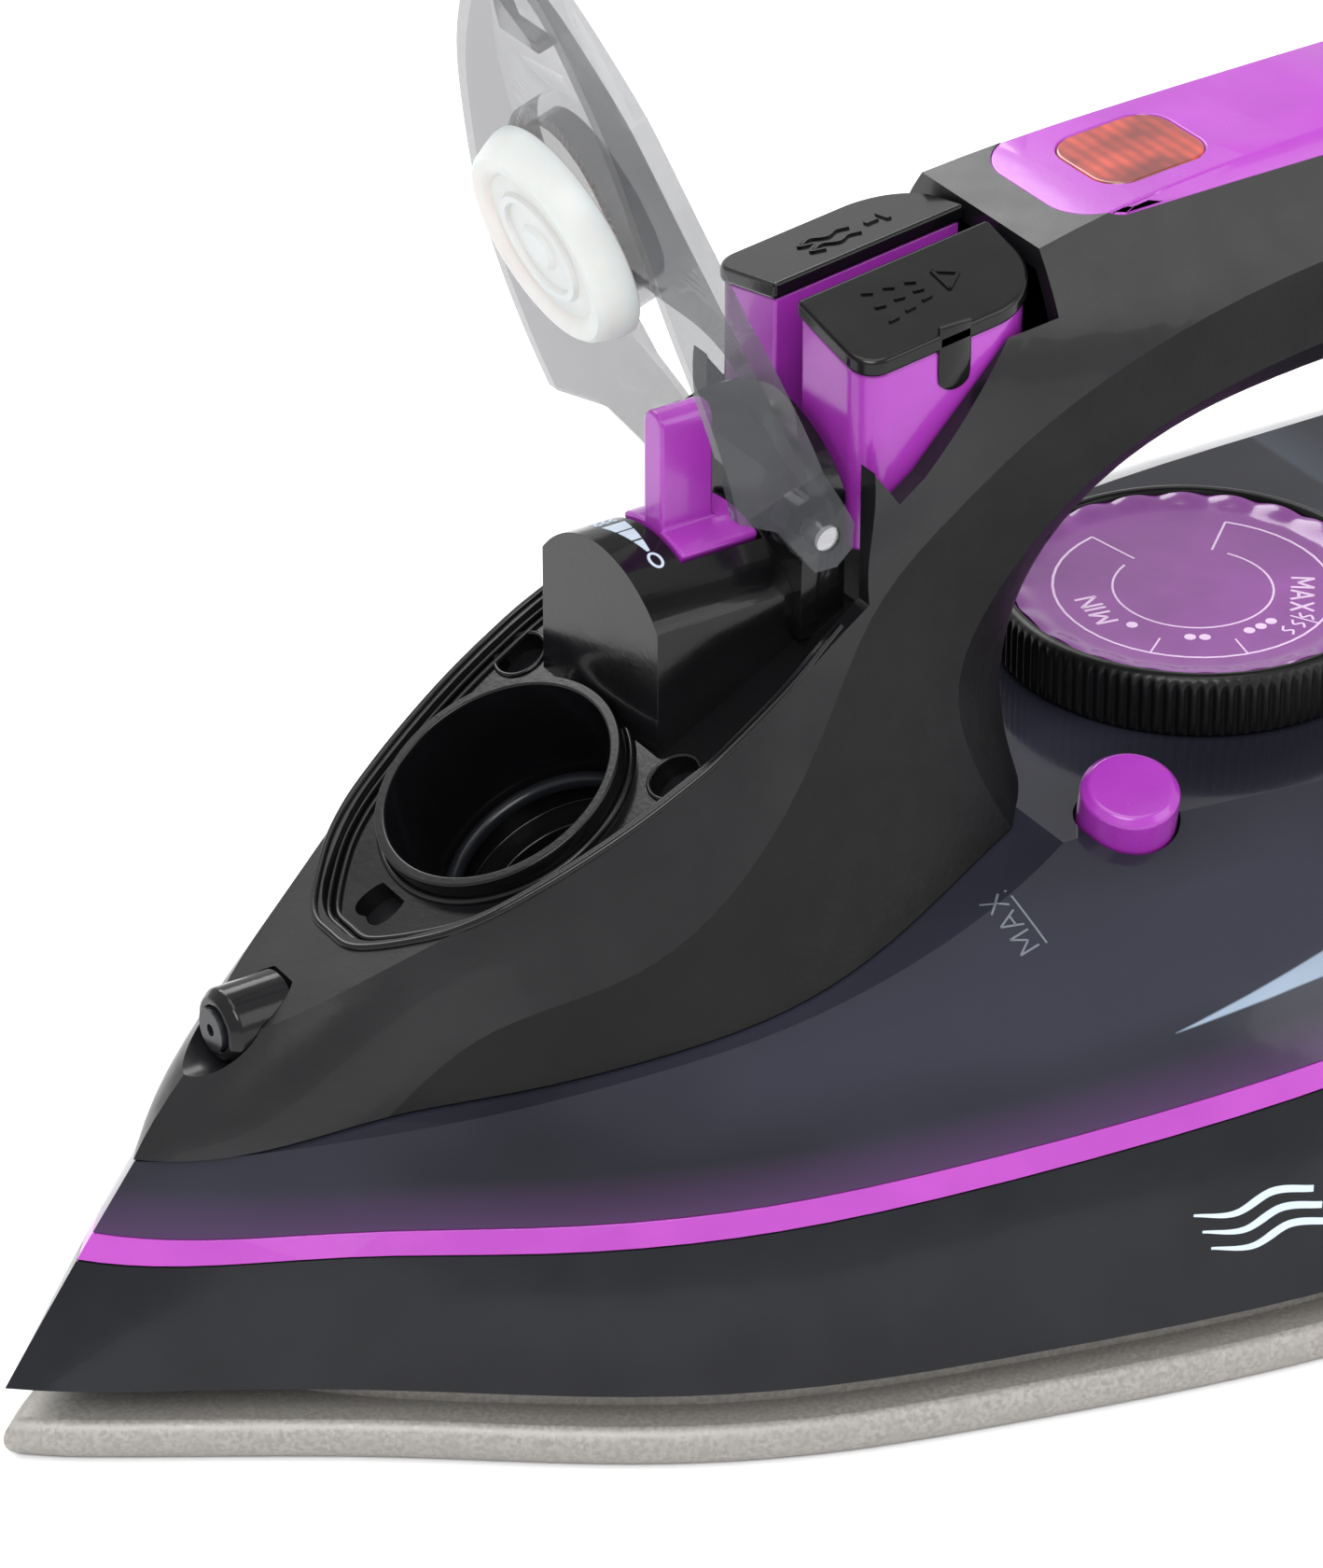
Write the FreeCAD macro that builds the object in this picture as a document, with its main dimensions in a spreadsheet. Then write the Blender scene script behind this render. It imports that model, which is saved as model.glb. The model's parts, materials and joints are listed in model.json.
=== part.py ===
import FreeCAD, Part
import math
import os
import re
import Sketcher

# Steam iron as an assembly of separate pieces, in millimetres.
# Row frame: origin on the soleplate's working face, -X towards the nose, +X towards the heel, +Z up.
# Pieces are laid out by their distance back from the soleplate's nose tip and are then moved by
# origin_from_nose, so that every piece stands in the row frame.

doc = FreeCAD.newDocument("steam_iron")
V = FreeCAD.Vector

# ---------------------------------------------------------------- driving dimensions
# A name that ends in _x is a station along the iron, measured back from the nose tip.
SIZES = {
    # whole iron
    "overall_length": 285.0, "body_width": 124.0, "origin_from_nose": 142.5, "wall": 2.2, "seat_gap": 0.3,
    "running_gap": 0.05,
    # soleplate and what is cast in it
    "sole_plate": 4.4, "casting_top": 13.4, "casting_inset": 5.0,
    "chamber_floor": 7.5, "chamber_half_width": 17.0, "chamber_start_x": 74.0, "chamber_end_x": 178.0,
    "heater_radius": 3.3, "heater_height": 9.0, "heater_pin_radius": 1.4, "heater_pin_length": 12.0,
    "steam_hole_radius": 1.1, "cover_plate": 1.0, "gasket": 1.2, "gasket_width": 6.0,
    "screw_radius": 1.5, "screw_head": 2.8, "screw_head_height": 1.8, "screw_reach": 7.0,
    # skirt, band and tank
    "skirt_bottom": 8.5, "band_nose_height": 20.1, "band_rise": 0.072, "band_height": 2.5, "band_joint": 0.15,
    "shoulder_nose_height": 26.8, "shoulder_rise": 0.21, "tank_top": 50.0, "tank_floor": 2.0,
    "post_radius": 5.5, "post_bore": 3.6,
    # sloping deck under the lid
    "deck_x": 44.5, "deck_height": 51.9, "deck_angle": 28.0, "deck_thickness": 2.4,
    "deck_rim_width": 1.5, "deck_recess": 1.4,
    "filler_along": 17.1, "filler_radius": 13.6, "filler_wall": 1.2, "filler_depth": 19.0, "filler_proud": 1.0,
    "filler_throat": 9.2, "filler_lip": 1.6,
    "well_along": 29.4, "well_across": 14.6, "well_radius": 2.7,
    # steam regulator on the deck
    "housing_x": 71.5, "housing_length": 19.0, "housing_half_width": 10.8, "housing_wall": 1.6,
    "barrel_radius": 13.75, "barrel_height": 70.25,
    "lever_x": 77.8, "lever_length": 9.2, "lever_half_angle": 23.0, "lever_thickness": 2.2,
    "lever_travel": 24.0, "fin_height": 12.6, "fin_length": 6.2, "fin_thickness": 3.4,
    "valve_x": 84.0, "valve_rod_radius": 1.5, "valve_rod_low": 24.0, "valve_rod_length": 54.0,
    "needle_length": 3.0, "needle_radius": 0.4, "seat_radius": 2.95, "seat_top": 31.0, "drip_radius": 0.8,
    # filler lid
    "hinge_along": 55.3, "hinge_above": 9.9, "hinge_pin_radius": 1.4, "hinge_boss_radius": 3.2,
    "hinge_boss_inner": 9.6, "hinge_boss_outer": 12.3, "hinge_pin_inner": 9.8, "hinge_pin_outer": 15.0,
    "lid_open_angle": 99.3, "lid_wall": 1.5, "lid_clearance": 0.5,
    "stopper_radius": 11.7, "stopper_height": 4.2, "stopper_plunge": 4.0, "stopper_taper": 1.1,
    # spray nozzle
    "nozzle_x": 34.0, "nozzle_height": 42.6, "nozzle_length": 7.6, "nozzle_radius": 4.0, "nozzle_bore": 2.4,
    "nozzle_tip_radius": 2.35, "nozzle_jet": 0.6,
    # thumb buttons and pumps
    "button_x": 93.9, "button_length": 22.4, "button_inner": 2.3, "button_outer": 13.6,
    "button_bottom": 82.0, "button_top": 104.2, "button_cap": 1.9, "button_slope": 7.0, "button_lean": 12.0,
    "button_travel": 3.0, "pump_x": 105.0, "pump_across": 7.6, "pump_radius": 5.2, "pump_bore": 4.0,
    "pump_bottom": 57.0, "pump_height": 21.0, "pump_floor": 1.5, "stem_radius": 1.6, "piston_low": 68.0,
    "piston_height": 3.0, "spring_radius": 3.0, "spring_wire": 0.35,
    # handle
    "grip_wall": 2.4, "cover_x": 122.5, "cover_length": 117.5, "cover_half_width": 10.0,
    "lens_x": 129.0, "lens_length": 13.5, "lens_half_width": 6.0, "lamp_radius": 2.2, "lamp_height": 103.0,
    # temperature dial
    "dial_x": 146.4, "dial_radius": 21.6, "dial_height": 7.0, "dial_gap": 0.4, "disc_radius": 19.6,
    "disc_thickness": 1.4, "shaft_radius": 2.5, "web_thickness": 1.8,
    "thermostat_length": 26.0, "thermostat_width": 18.0, "thermostat_plate": 2.0, "thermostat_radius": 7.0,
    "thermostat_height": 8.0,
    # self clean button
    "clean_x": 119.0, "clean_across": 26.0, "clean_radius": 5.2, "clean_height": 4.2, "clean_skirt": 2.0,
    "clean_seat": 50.4, "clean_tilt": 16.0, "clean_rod_radius": 1.2, "clean_rod_length": 12.0,
    # heel
    "heel_x": 272.0, "heel_depth": 11.0, "heel_foot": 2.0, "foot_radius": 4.0, "cord_x": 250.0,
    "cord_height": 84.0, "cord_angle": 52.0, "cord_radius": 6.5, "cord_bore": 3.4, "gland_wall": 2.4,
    "gland_length": 20.0, "terminal_length": 19.0, "terminal_half_width": 8.0, "terminal_height": 12.0,
}
sheet = doc.addObject("Spreadsheet::Sheet", "Dims")
for row, (alias, value) in enumerate(SIZES.items(), start=1):
    sheet.set(f"A{row}", alias)
    sheet.set(f"B{row}", str(value))
    sheet.setAlias(f"B{row}", alias)
doc.recompute()

# The outlines below are drawn for an iron of this length and width and follow the sheet from there.
DRAWN_LENGTH, DRAWN_WIDTH = 285.0, 124.0


def size(alias):
    """A driving dimension as the sheet holds it; stations follow the iron's length."""
    value = float(sheet.get(alias))
    return value * along if alias.endswith("_x") else value


along = float(sheet.get("overall_length")) / DRAWN_LENGTH
across = float(sheet.get("body_width")) / DRAWN_WIDTH

# ---------------------------------------------------------------- outlines
# Half outlines seen from above (X, half width); the hull and upper ones by height.
SOLE = [(0, 0), (4, 3.4), (8.7, 6.6), (18.2, 12.6), (32.4, 21.9), (46.1, 31.9), (55.5, 38.1), (70.9, 45.6),
        (87.8, 51), (105.5, 55.8), (120.9, 59.1), (150, 61.8), (180, 61), (208, 55.5), (228, 44), (238, 28), (242, 0)]
HULL = {
    8.5: [(0.4, 0), (8.3, 5.9), (18, 11.7), (32.4, 21), (46.1, 31), (55.5, 37.2), (70.9, 44.7), (87.8, 50.2),
          (105.5, 55), (120.9, 58.3), (150, 61), (180, 60), (210, 56), (240, 50), (292, 38)],
    26.0: [(13, 0), (18.5, 6), (33.7, 16.8), (48.7, 27.8), (65, 37.4), (83, 44.2), (101.5, 49.3), (121.5, 53.6),
           (150, 56.5), (180, 56), (210, 52.5), (240, 47), (292, 36.5)],
    40.0: [(24, 0), (33, 9), (45, 18), (60, 26), (70, 30.8), (81, 34.6), (93, 37.8), (119, 44), (150, 48),
           (180, 48), (210, 45), (240, 40), (292, 31)],
    50.0: [(33, 0), (38, 6.5), (45, 12), (60, 20.5), (80, 25.8), (106, 26.5), (119, 27.5), (146, 32), (180, 33),
           (210, 32), (240, 30), (292, 24)],
}
UPPER = {
    28.0: [(15, 0), (24, 8), (37, 17), (54, 28), (60, 31), (70, 35), (81, 37), (93, 37), (106, 33), (120, 28),
           (146, 24), (180, 24), (215, 28), (240, 32), (292, 30)],
    50.0: [(34, 0), (37, 6), (42, 10.4), (49, 14.6), (60, 20.6), (70, 24.2), (83, 25.6), (93, 24.5), (106, 21.5),
           (120, 18.5), (146, 17.5), (180, 17.5), (215, 20), (240, 23), (292, 21)],
    65.0: [(48, 0), (53, 9), (60, 14.8), (70, 18.8), (75, 19.8), (83, 20.2), (93, 19.2), (106, 17.6), (120, 17),
           (146, 16.5), (180, 16.5), (215, 18), (240, 20), (292, 19)],
    80.0: [(62, 0), (67, 9), (72, 13), (80, 16), (93, 15.6), (106, 16), (120, 16.5), (146, 17), (180, 17),
           (215, 17.5), (240, 18.2), (292, 17.5)],
    98.0: [(84, 0), (88, 9.6), (93, 14.2), (106, 15.4), (120, 16), (146, 16.6), (180, 16.6), (215, 16.4),
           (240, 16.2), (292, 15)],
    108.0: [(90, 0), (93, 7), (98, 9.8), (106, 10.6), (120, 11), (146, 11.3), (180, 11.3), (215, 11.1),
            (240, 10.6), (292, 8.6)],
    115.0: [(92, 0), (96, 2.6), (106, 4), (120, 4.6), (146, 5), (180, 5), (215, 5), (240, 4.6), (292, 3.6)],
}
# Side outlines (X, height): upper contour of column and grip, seam of the upper shell, button window, hump.
GRIP_TOP = [(93, 105.2), (106, 107), (122, 109.6), (150, 111.6), (180, 112.2), (210, 111), (240, 107),
            (262, 101), (288, 90)]
SEAM = [(28, 28), (38.5, 35.5), (48, 43), (62, 48.5), (74.5, 56.5), (85.5, 67), (94, 77), (102, 84), (113, 92),
        (129, 98), (150, 101), (180, 102), (212, 100), (240, 93.5), (262, 83.5), (290, 64)]
BUTTON_WINDOW = [(90.5, 118), (91.5, 98), (93.6, 92.6), (96.6, 88.6), (99.5, 90.6), (114.2, 105.6), (116.9, 110),
                 (117.2, 118)]
HUMP = [(87.5, 74), (87.7, 83), (88.6, 89.5), (90.2, 93.6), (92.8, 95.5), (92.8, 74)]
# Finger gap (X, height, share of the rounding that its edge takes towards the sides).
FINGER_GAP = [(119, 44, 0.5), (116.6, 56, 0.9), (118.6, 64, 1.7), (123, 73.4, 1.4), (131, 80), (145, 82.8),
              (175, 83.4), (205, 81.2), (225, 75.6, 1.2), (235, 65, 1.5), (238.5, 54, 1.5), (238, 44, 1.2)]
# Lid outline on the deck (distance up the slope, half width) and the back of the lid (up the slope, height).
LID_EDGE = [(-6.2, 0), (-5.4, 4.6), (0, 10.4), (5, 13.6), (10.6, 15.6), (16.4, 17.1), (22.3, 18.2), (28.3, 18.8),
            (34.4, 18.9), (44, 17.8), (52, 16), (59.6, 15.2)]
LID_BACK = [(-12, 1.8), (-6.4, 3.2), (5, 5.4), (20, 7.6), (34, 9.2), (46, 10.8), (52, 12.4), (55.3, 13.1),
            (58.0, 12.2), (59.0, 9.9), (58.0, 7.4), (55.3, 6.5), (50, 4.6), (45, 0), (44, -20), (-30, -20)]


def scaled(points):
    """Plan outline for the iron's own length and width."""
    return [(x * along, y * across) for x, y in points]


def lengthened(points):
    """Side outline for the iron's own length."""
    return [(point[0] * along, *point[1:]) for point in points]


def inset_outline(points, inset):
    """Half outline moved inwards by inset, square to itself."""
    if inset == 0:
        return points
    moved = []
    last = len(points) - 1
    for i, (x, y) in enumerate(points):
        if i == 0:
            slope = math.atan2(points[1][1], points[1][0] - x)
            moved.append((x + inset / math.sin(max(slope, 0.5)), 0.0))
            continue
        if i == last and y == 0:
            moved.append((x - inset, 0.0))
            continue
        before, after = points[i - 1], points[min(i + 1, last)]
        run = math.hypot(after[0] - before[0], after[1] - before[1])
        moved.append((x + inset * (after[1] - before[1]) / run, y - inset * (after[0] - before[0]) / run))
    return moved


def offset_side(points, distance):
    """Side outline moved to its left by distance."""
    moved = []
    for i, (x, z) in enumerate(points):
        before, after = points[max(i - 1, 0)], points[min(i + 1, len(points) - 1)]
        run = math.hypot(after[0] - before[0], after[1] - before[1])
        moved.append((x - distance * (after[1] - before[1]) / run, z + distance * (after[0] - before[0]) / run))
    return moved


# ---------------------------------------------------------------- shape helpers
REACH = 400.0
WIDE = 120.0


def spline(points):
    curve = Part.BSplineCurve()
    curve.interpolate(points)
    return curve.toShape()


def plan_wire(half, height):
    """Closed plan outline through a half outline and its mirror image, at a height."""
    near = [V(x, -y, height) for x, y in half]
    far = [V(x, y, height) for x, y in reversed(half)]
    if half[-1][1] == 0:
        return Part.Wire([spline(near), spline(far)])
    return Part.Wire([spline(near), Part.LineSegment(near[-1], far[0]).toShape(), spline(far)])


def loft(levels, inset):
    """Solid through the plan outlines of several heights."""
    wires = [plan_wire(inset_outline(scaled(half), inset), height) for height, half in levels.items()]
    return Part.makeLoft(wires, True, False)


def side_prism(points, half_width):
    """Solid of a straight-sided side outline (X, height), reaching half_width to both sides."""
    vectors = [V(x, -half_width, z) for x, z in points]
    return Part.Face(Part.makePolygon(vectors + [vectors[0]])).extrude(V(0, 2 * half_width, 0))


def under_line(nose_height, rise):
    """Everything below a plane that rises towards the heel."""
    ends = [(x, nose_height + rise * x) for x in (REACH, -REACH)]
    return side_prism([(-REACH, -REACH), (REACH, -REACH)] + ends, WIDE)


def under_curve(points):
    """Everything below a side curve that runs along the iron."""
    curve = [V(x, -WIDE, z) for x, z in points]
    low = [V(points[-1][0], -WIDE, -50), V(points[0][0], -WIDE, -50)]
    corners = [curve[-1], *low, curve[0]]
    edges = [Part.LineSegment(a, b).toShape() for a, b in zip(corners, corners[1:])]
    return Part.Face(Part.Wire([spline(curve)] + edges)).extrude(V(0, 2 * WIDE, 0))


def box(x0, x1, y0, y1, z0, z1):
    return Part.makeBox(x1 - x0, y1 - y0, z1 - z0, V(x0, y0, z0))


def cylinder(radius, start, end):
    axis = end.sub(start)
    return Part.makeCylinder(radius, axis.Length, start, axis)


def tube(radius, bore, start, end):
    return cylinder(radius, start, end).cut(cylinder(bore, start, end))


def upright(radius, x, y, low, high):
    return cylinder(radius, V(x, y, low), V(x, y, high))


# The deck's own directions: u runs up the slope towards the handle, n stands square on it.
deck_turn = math.radians(size("deck_angle"))
DECK_ORIGIN = V(size("deck_x"), 0, size("deck_height"))
DECK_U = V(math.cos(deck_turn), 0, math.sin(deck_turn))
DECK_N = V(-math.sin(deck_turn), 0, math.cos(deck_turn))


def on_deck(u, y, n):
    return DECK_ORIGIN + DECK_U * u + DECK_N * n + V(0, y, 0)


def under_deck(n):
    """Everything below a plane parallel to the deck, n above it."""
    corners = [on_deck(-REACH, 0, n), on_deck(REACH, 0, n), on_deck(REACH, 0, -REACH), on_deck(-REACH, 0, -REACH)]
    return side_prism([(p.x, p.z) for p in corners], WIDE)


def deck_prism(half, low, high):
    """Solid standing on the deck over a half outline given in deck directions."""
    near = [on_deck(u, -y, low) for u, y in half]
    far = [on_deck(u, y, low) for u, y in reversed(half)]
    edges = [spline(near), Part.LineSegment(near[-1], far[0]).toShape(), spline(far)]
    return Part.Face(Part.Wire(edges)).extrude(DECK_N * (high - low))


# ---------------------------------------------------------------- pieces
NODES = []


def keep(thing, name):
    """Note an object as one sub-part of the iron."""
    thing.Label = name
    NODES.append(thing)
    return thing


def formed(name, shape):
    """A sub-part of free-form shape, set into the row frame."""
    feature = doc.addObject("Part::Feature", name)
    feature.Shape = Part.makeCompound(shape.Solids)
    feature.setExpression(".Placement.Base.x", "-Dims.origin_from_nose")
    return keep(feature, name)


def formula(text):
    """Formula on the sheet from a text that uses the sheet's names."""
    def cell(match):
        name = match.group()
        if name not in SIZES:
            return name
        return f"(Dims.{name} * Dims.overall_length / {DRAWN_LENGTH})" if name.endswith("_x") else f"Dims.{name}"
    return re.sub(r"[a-z_]+", cell, text)


def place(thing, base, turn=None):
    """Stand a piece where three formulas say, its own axis turned from upright."""
    if turn is not None:
        thing.Placement = FreeCAD.Placement(V(0, 0, 0), turn)
    for letter, text in zip("xyz", base):
        thing.setExpression(f".Placement.Base.{letter}", formula(text))
    if "origin_from_nose" not in base[0]:
        thing.setExpression(".Placement.Base.x", formula(f"{base[0]} - origin_from_nose"))
    return thing


def solid(kind, name, measures, base, turn=None):
    """A Part primitive whose measures and place follow the sheet."""
    thing = doc.addObject(f"Part::{kind}", name)
    for measure, text in measures.items():
        thing.setExpression(measure, formula(text))
    return place(thing, base, turn)


def rod(name, radius, height, base, turn=None):
    return solid("Cylinder", name, {"Radius": radius, "Height": height}, base, turn)


def joined(kind, name, parts):
    """Boolean of two objects, or a group of several."""
    thing = doc.addObject(f"Part::{kind}", name)
    if kind == "Compound":
        thing.Links = parts
    else:
        thing.Base, thing.Tool = parts
    return thing


def turned(name, profile, base, turn=None):
    """A round sub-part: corners (radius, height) joined by lines and revolved about its own axis."""
    body = doc.addObject("PartDesign::Body", name)
    sketch = body.newObject("Sketcher::SketchObject", name + "_profile")
    plane = next(f for f in body.Origin.OriginFeatures if f.Role == "XZ_Plane")
    sketch.AttachmentSupport = [(plane, "")]
    sketch.MapMode = "FlatFace"
    corners = [[formula(text) for text in corner] for corner in profile]
    points = [V(*[float(sheet.evalExpression(text)) for text in corner], 0) for corner in corners]
    last = len(points) - 1
    for i, point in enumerate(points):
        sketch.addGeometry(Part.LineSegment(point, points[(i + 1) % len(points)]))
    for i, point in enumerate(points):
        sketch.addConstraint(Sketcher.Constraint("Coincident", (i or last + 1) - 1, 2, i, 1))
        for kind, value, text, axis in (("DistanceX", point.x, corners[i][0], -2),
                                        ("DistanceY", point.y, corners[i][1], -1)):
            if abs(value) < 1e-9:
                sketch.addConstraint(Sketcher.Constraint("PointOnObject", i, 1, axis))
            else:
                index = sketch.addConstraint(Sketcher.Constraint(kind, -1, 1, i, 1, value))
                sketch.setExpression(f"Constraints[{index}]", text)
    spin = body.newObject("PartDesign::Revolution", name + "_spin")
    spin.Profile = sketch
    spin.ReferenceAxis = (sketch, ["V_Axis"])
    spin.Angle = 360
    sketch.Visibility = False
    return keep(place(body, base, turn), name)


def deck_base(u, y, n):
    """Formulas of a place given in deck directions."""
    return (f"deck_x + ({u}) * cos(deck_angle) - ({n}) * sin(deck_angle)", y,
            f"deck_height + ({u}) * sin(deck_angle) + ({n}) * cos(deck_angle)")


def towards(direction):
    return FreeCAD.Rotation(V(0, 0, 1), direction)


ON_SIDE = towards(V(0, 1, 0))
BACKWARDS = towards(V(1, 0, 0))
FORWARDS = towards(V(-1, 0, 0))

# ---------------------------------------------------------------- shared envelopes and positions
wall = size("wall")
gap = size("seat_gap")
hull_outside = loft(HULL, 0)
hull_inside = loft(HULL, wall)
upper_outside = loft(UPPER, 0)
upper_inside = loft(UPPER, wall)
heel_x = size("heel_x")
heel_rear = heel_x + size("heel_depth")
ahead_of_heel = box(-50, heel_x, -WIDE, WIDE, -10, 200)
dial_x = size("dial_x")
valve_x = size("valve_x")
cover_low = size("casting_top") + size("gasket")
cover_high = cover_low + size("cover_plate")
band_top = size("band_height") + size("band_joint")
hinge = on_deck(size("hinge_along"), 0, size("hinge_above"))
clean_turn = math.radians(size("clean_tilt"))
CLEAN_AXIS = V(-0.12, -math.sin(clean_turn), math.cos(clean_turn)).normalize()
clean_seat = V(size("clean_x"), -size("clean_across"), size("clean_seat"))
cord_turn = math.radians(size("cord_angle"))
CORD_AXIS = V(math.cos(cord_turn), 0, math.sin(cord_turn))
cord_root = V(size("cord_x"), 0, size("cord_height"))
screw_places = [(x * along, side * y * across) for x, y in ((58, 9), (190, 40)) for side in (-1, 1)]


def band_line(extra):
    return under_line(size("band_nose_height") + extra, size("band_rise"))


def shoulder_line(extra):
    """Everything below the tank's roof: a rising plane at the nose, level from the dial backwards."""
    rise = size("shoulder_rise")
    level_x = (size("tank_top") - size("shoulder_nose_height")) / rise
    roof = size("tank_top") + extra
    return side_prism([(-REACH, -REACH), (REACH, -REACH), (REACH, roof), (level_x, roof),
                       (-REACH, roof - rise * (level_x + REACH))], WIDE)


def heel_cut():
    """Slope under the heel, where the soleplate ends and the skirt climbs."""
    bottom = size("skirt_bottom")
    return side_prism([(-60, -20), (-60, bottom), (heel_x - 44, bottom), (heel_x + 30, 30), (heel_x + 30, -20)], WIDE)


def filler_bore(clearance):
    return cylinder(size("filler_radius") + clearance, on_deck(size("filler_along"), 0, -40),
                    on_deck(size("filler_along"), 0, 30))


def valve_bore():
    return upright(size("valve_rod_radius") + 0.4, valve_x, 0, 0, 120)


# ---------------------------------------------------------------- soleplate, heater and chamber cover
def heater_run():
    """U-shaped run of the heating tube, from one terminal round the nose to the other."""
    half = scaled([(212, 26), (180, 34), (140, 34), (100, 31), (70, 25), (50, 14), (43, 0)])
    points = [V(x, -y, size("heater_height")) for x, y in half]
    return points + [V(x, y, size("heater_height")) for x, y in reversed(half[:-1])]


def heater_tube():
    edge = spline(heater_run())
    start = edge.FirstParameter
    ring = Part.Wire(Part.makeCircle(size("heater_radius"), edge.valueAt(start), edge.tangentAt(start)))
    return Part.Wire(edge).makePipeShell([ring], True, False)


def casting(low, high, inset, front):
    """Slab with the soleplate's outline, set in from its edge and blunt at the nose."""
    half = [point for point in inset_outline(scaled(SOLE), inset) if point[0] > front]
    half[0] = (half[0][0] - 2, 0.0)
    return Part.Face(plan_wire(half, low)).extrude(V(0, 0, high - low))


def soleplate():
    plate = size("sole_plate")
    rim = [(0.0, 1.3), (0.12, 0.45), (0.35, 0.0), (0.65, 0.0), (0.88, 0.45), (1.0, 1.3)]
    wires = [plan_wire(inset_outline(scaled(SOLE), inset), share * plate) for share, inset in rim]
    body = Part.makeLoft(wires, True, False)
    body = body.fuse(casting(plate - 1, size("casting_top"), size("casting_inset"), 12)).cut(heater_tube())
    half = size("chamber_half_width")
    body = body.cut(box(size("chamber_start_x"), size("chamber_end_x"), -half, half, size("chamber_floor"),
                        size("casting_top") + 1))
    drills = [upright(size("steam_hole_radius"), (82 + i * 11) * along, side * (5.5 + i * 0.8), -1, 12)
              for i in range(9) for side in (-1, 0, 1)]
    depth = size("casting_top") - size("screw_reach") + size("gasket") + size("cover_plate")
    drills += [upright(size("screw_radius") + gap, x, y, depth, 30) for x, y in screw_places]
    ends = [V(heater_run()[0].x, side * heater_run()[0].y, size("heater_height")) for side in (-1, 1)]
    drills += [cylinder(size("heater_pin_radius") + gap, end, end + V(40, 0, 0)) for end in ends]
    return body.cut(Part.makeCompound(drills))


def chamber_parts():
    """Gasket ring and cover plate on the casting, with holes for the screws and the steam valve."""
    holes = [upright(size("screw_radius") + gap, x, y, 0, 30) for x, y in screw_places]
    holes.append(upright(size("seat_radius") + gap, valve_x, 0, 0, 30))
    cuts = Part.makeCompound(holes)
    outside = casting(size("casting_top"), cover_low, 8.0, 24)
    inside = casting(size("casting_top") - 1, cover_low + 1, 8.0 + size("gasket_width"), 24)
    cover = casting(cover_low, cover_high, 8.0, 24)
    return outside.cut(inside).cut(cuts), cover.cut(cuts)


def screws(name, places, head_low, reach):
    """Group of equal screws, heads up."""
    group = []
    for i, (x, y) in enumerate(places):
        spot = (f"{x / along} * overall_length / {DRAWN_LENGTH}", f"{y / across} * body_width / {DRAWN_WIDTH}")
        shank = rod(f"{name}_shank_{i}", "screw_radius", reach, (*spot, f"{head_low} - ({reach})"))
        head = rod(f"{name}_head_{i}", "screw_head", "screw_head_height", (*spot, head_low))
        group.append(joined("Fuse", f"{name}_{i}", (shank, head)))
    return keep(joined("Compound", name, group), name)


formed("soleplate", soleplate())
heater = formed("heater_element", heater_tube())
heater_end = heater_run()[0]
pins = [rod(f"heater_pin_{i}", "heater_pin_radius", "heater_pin_length",
            (f"{heater_end.x}", f"{side * heater_end.y}", "heater_height"), BACKWARDS)
        for i, side in enumerate((-1, 1))]
keep(joined("Cut", "heater_pins", (joined("Compound", "heater_pin_pair", pins), heater)), "heater_pins")
gasket, cover = chamber_parts()
formed("chamber_gasket", gasket)
formed("steam_chamber_cover", cover)
cover_top = "casting_top + gasket + cover_plate"
screws("cover_screws", screw_places, cover_top, "screw_reach - 0.5")

# ---------------------------------------------------------------- thermostat under the dial
plate = solid("Box", "thermostat_base", {"Length": "thermostat_length", "Width": "thermostat_width",
                                         "Height": "thermostat_plate"},
              ("dial_x - thermostat_length / 2", "-thermostat_width / 2", cover_top))
can = rod("thermostat_can", "thermostat_radius", "thermostat_height", ("dial_x", "0", cover_top))
bore = rod("thermostat_bore", "shaft_radius + running_gap", "thermostat_height",
           ("dial_x", "0", f"{cover_top} + thermostat_plate + 1"))
keep(joined("Cut", "thermostat", (joined("Fuse", "thermostat_body", (plate, can)), bore)), "thermostat")


# ---------------------------------------------------------------- skirt, coloured band, tank
def hull_wall():
    return hull_outside.cut(hull_inside).common(ahead_of_heel)


def clean_bore(radius, low, high):
    return cylinder(radius, clean_seat + CLEAN_AXIS * low, clean_seat + CLEAN_AXIS * high)


def water_tank():
    roof = size("tank_top")
    shell = hull_outside.common(ahead_of_heel).common(shoulder_line(0)).cut(band_line(band_top))
    inner = hull_inside.common(box(-50, heel_x - wall, -WIDE, WIDE, -10, roof - 2)).common(shoulder_line(-2))
    bore = upright(size("post_bore"), dial_x, 0, 0, roof + 5)
    post = upright(size("post_radius"), dial_x, 0, 20, roof).cut(band_line(band_top + size("tank_floor")))
    cup = clean_bore(size("clean_radius") + 1.8, -8, 3).common(shell)
    tank = shell.cut(inner).fuse(post).cut(bore).cut(filler_bore(gap)).cut(valve_bore()).fuse(cup)
    return tank.cut(clean_bore(size("clean_radius") + 0.35, -6, 12)).cut(
        clean_bore(size("clean_rod_radius") + gap, -12, 0))


def tank_floor():
    floor = hull_inside.common(box(-50, heel_x - wall - gap, -WIDE, WIDE, -10, 60))
    floor = floor.common(band_line(band_top + size("tank_floor") - 0.1)).cut(band_line(band_top))
    holes = [upright(size("post_bore"), dial_x, 0, 0, 60), upright(size("seat_radius") + gap, valve_x, 0, 0, 60)]
    return floor.cut(Part.makeCompound(holes))


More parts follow.
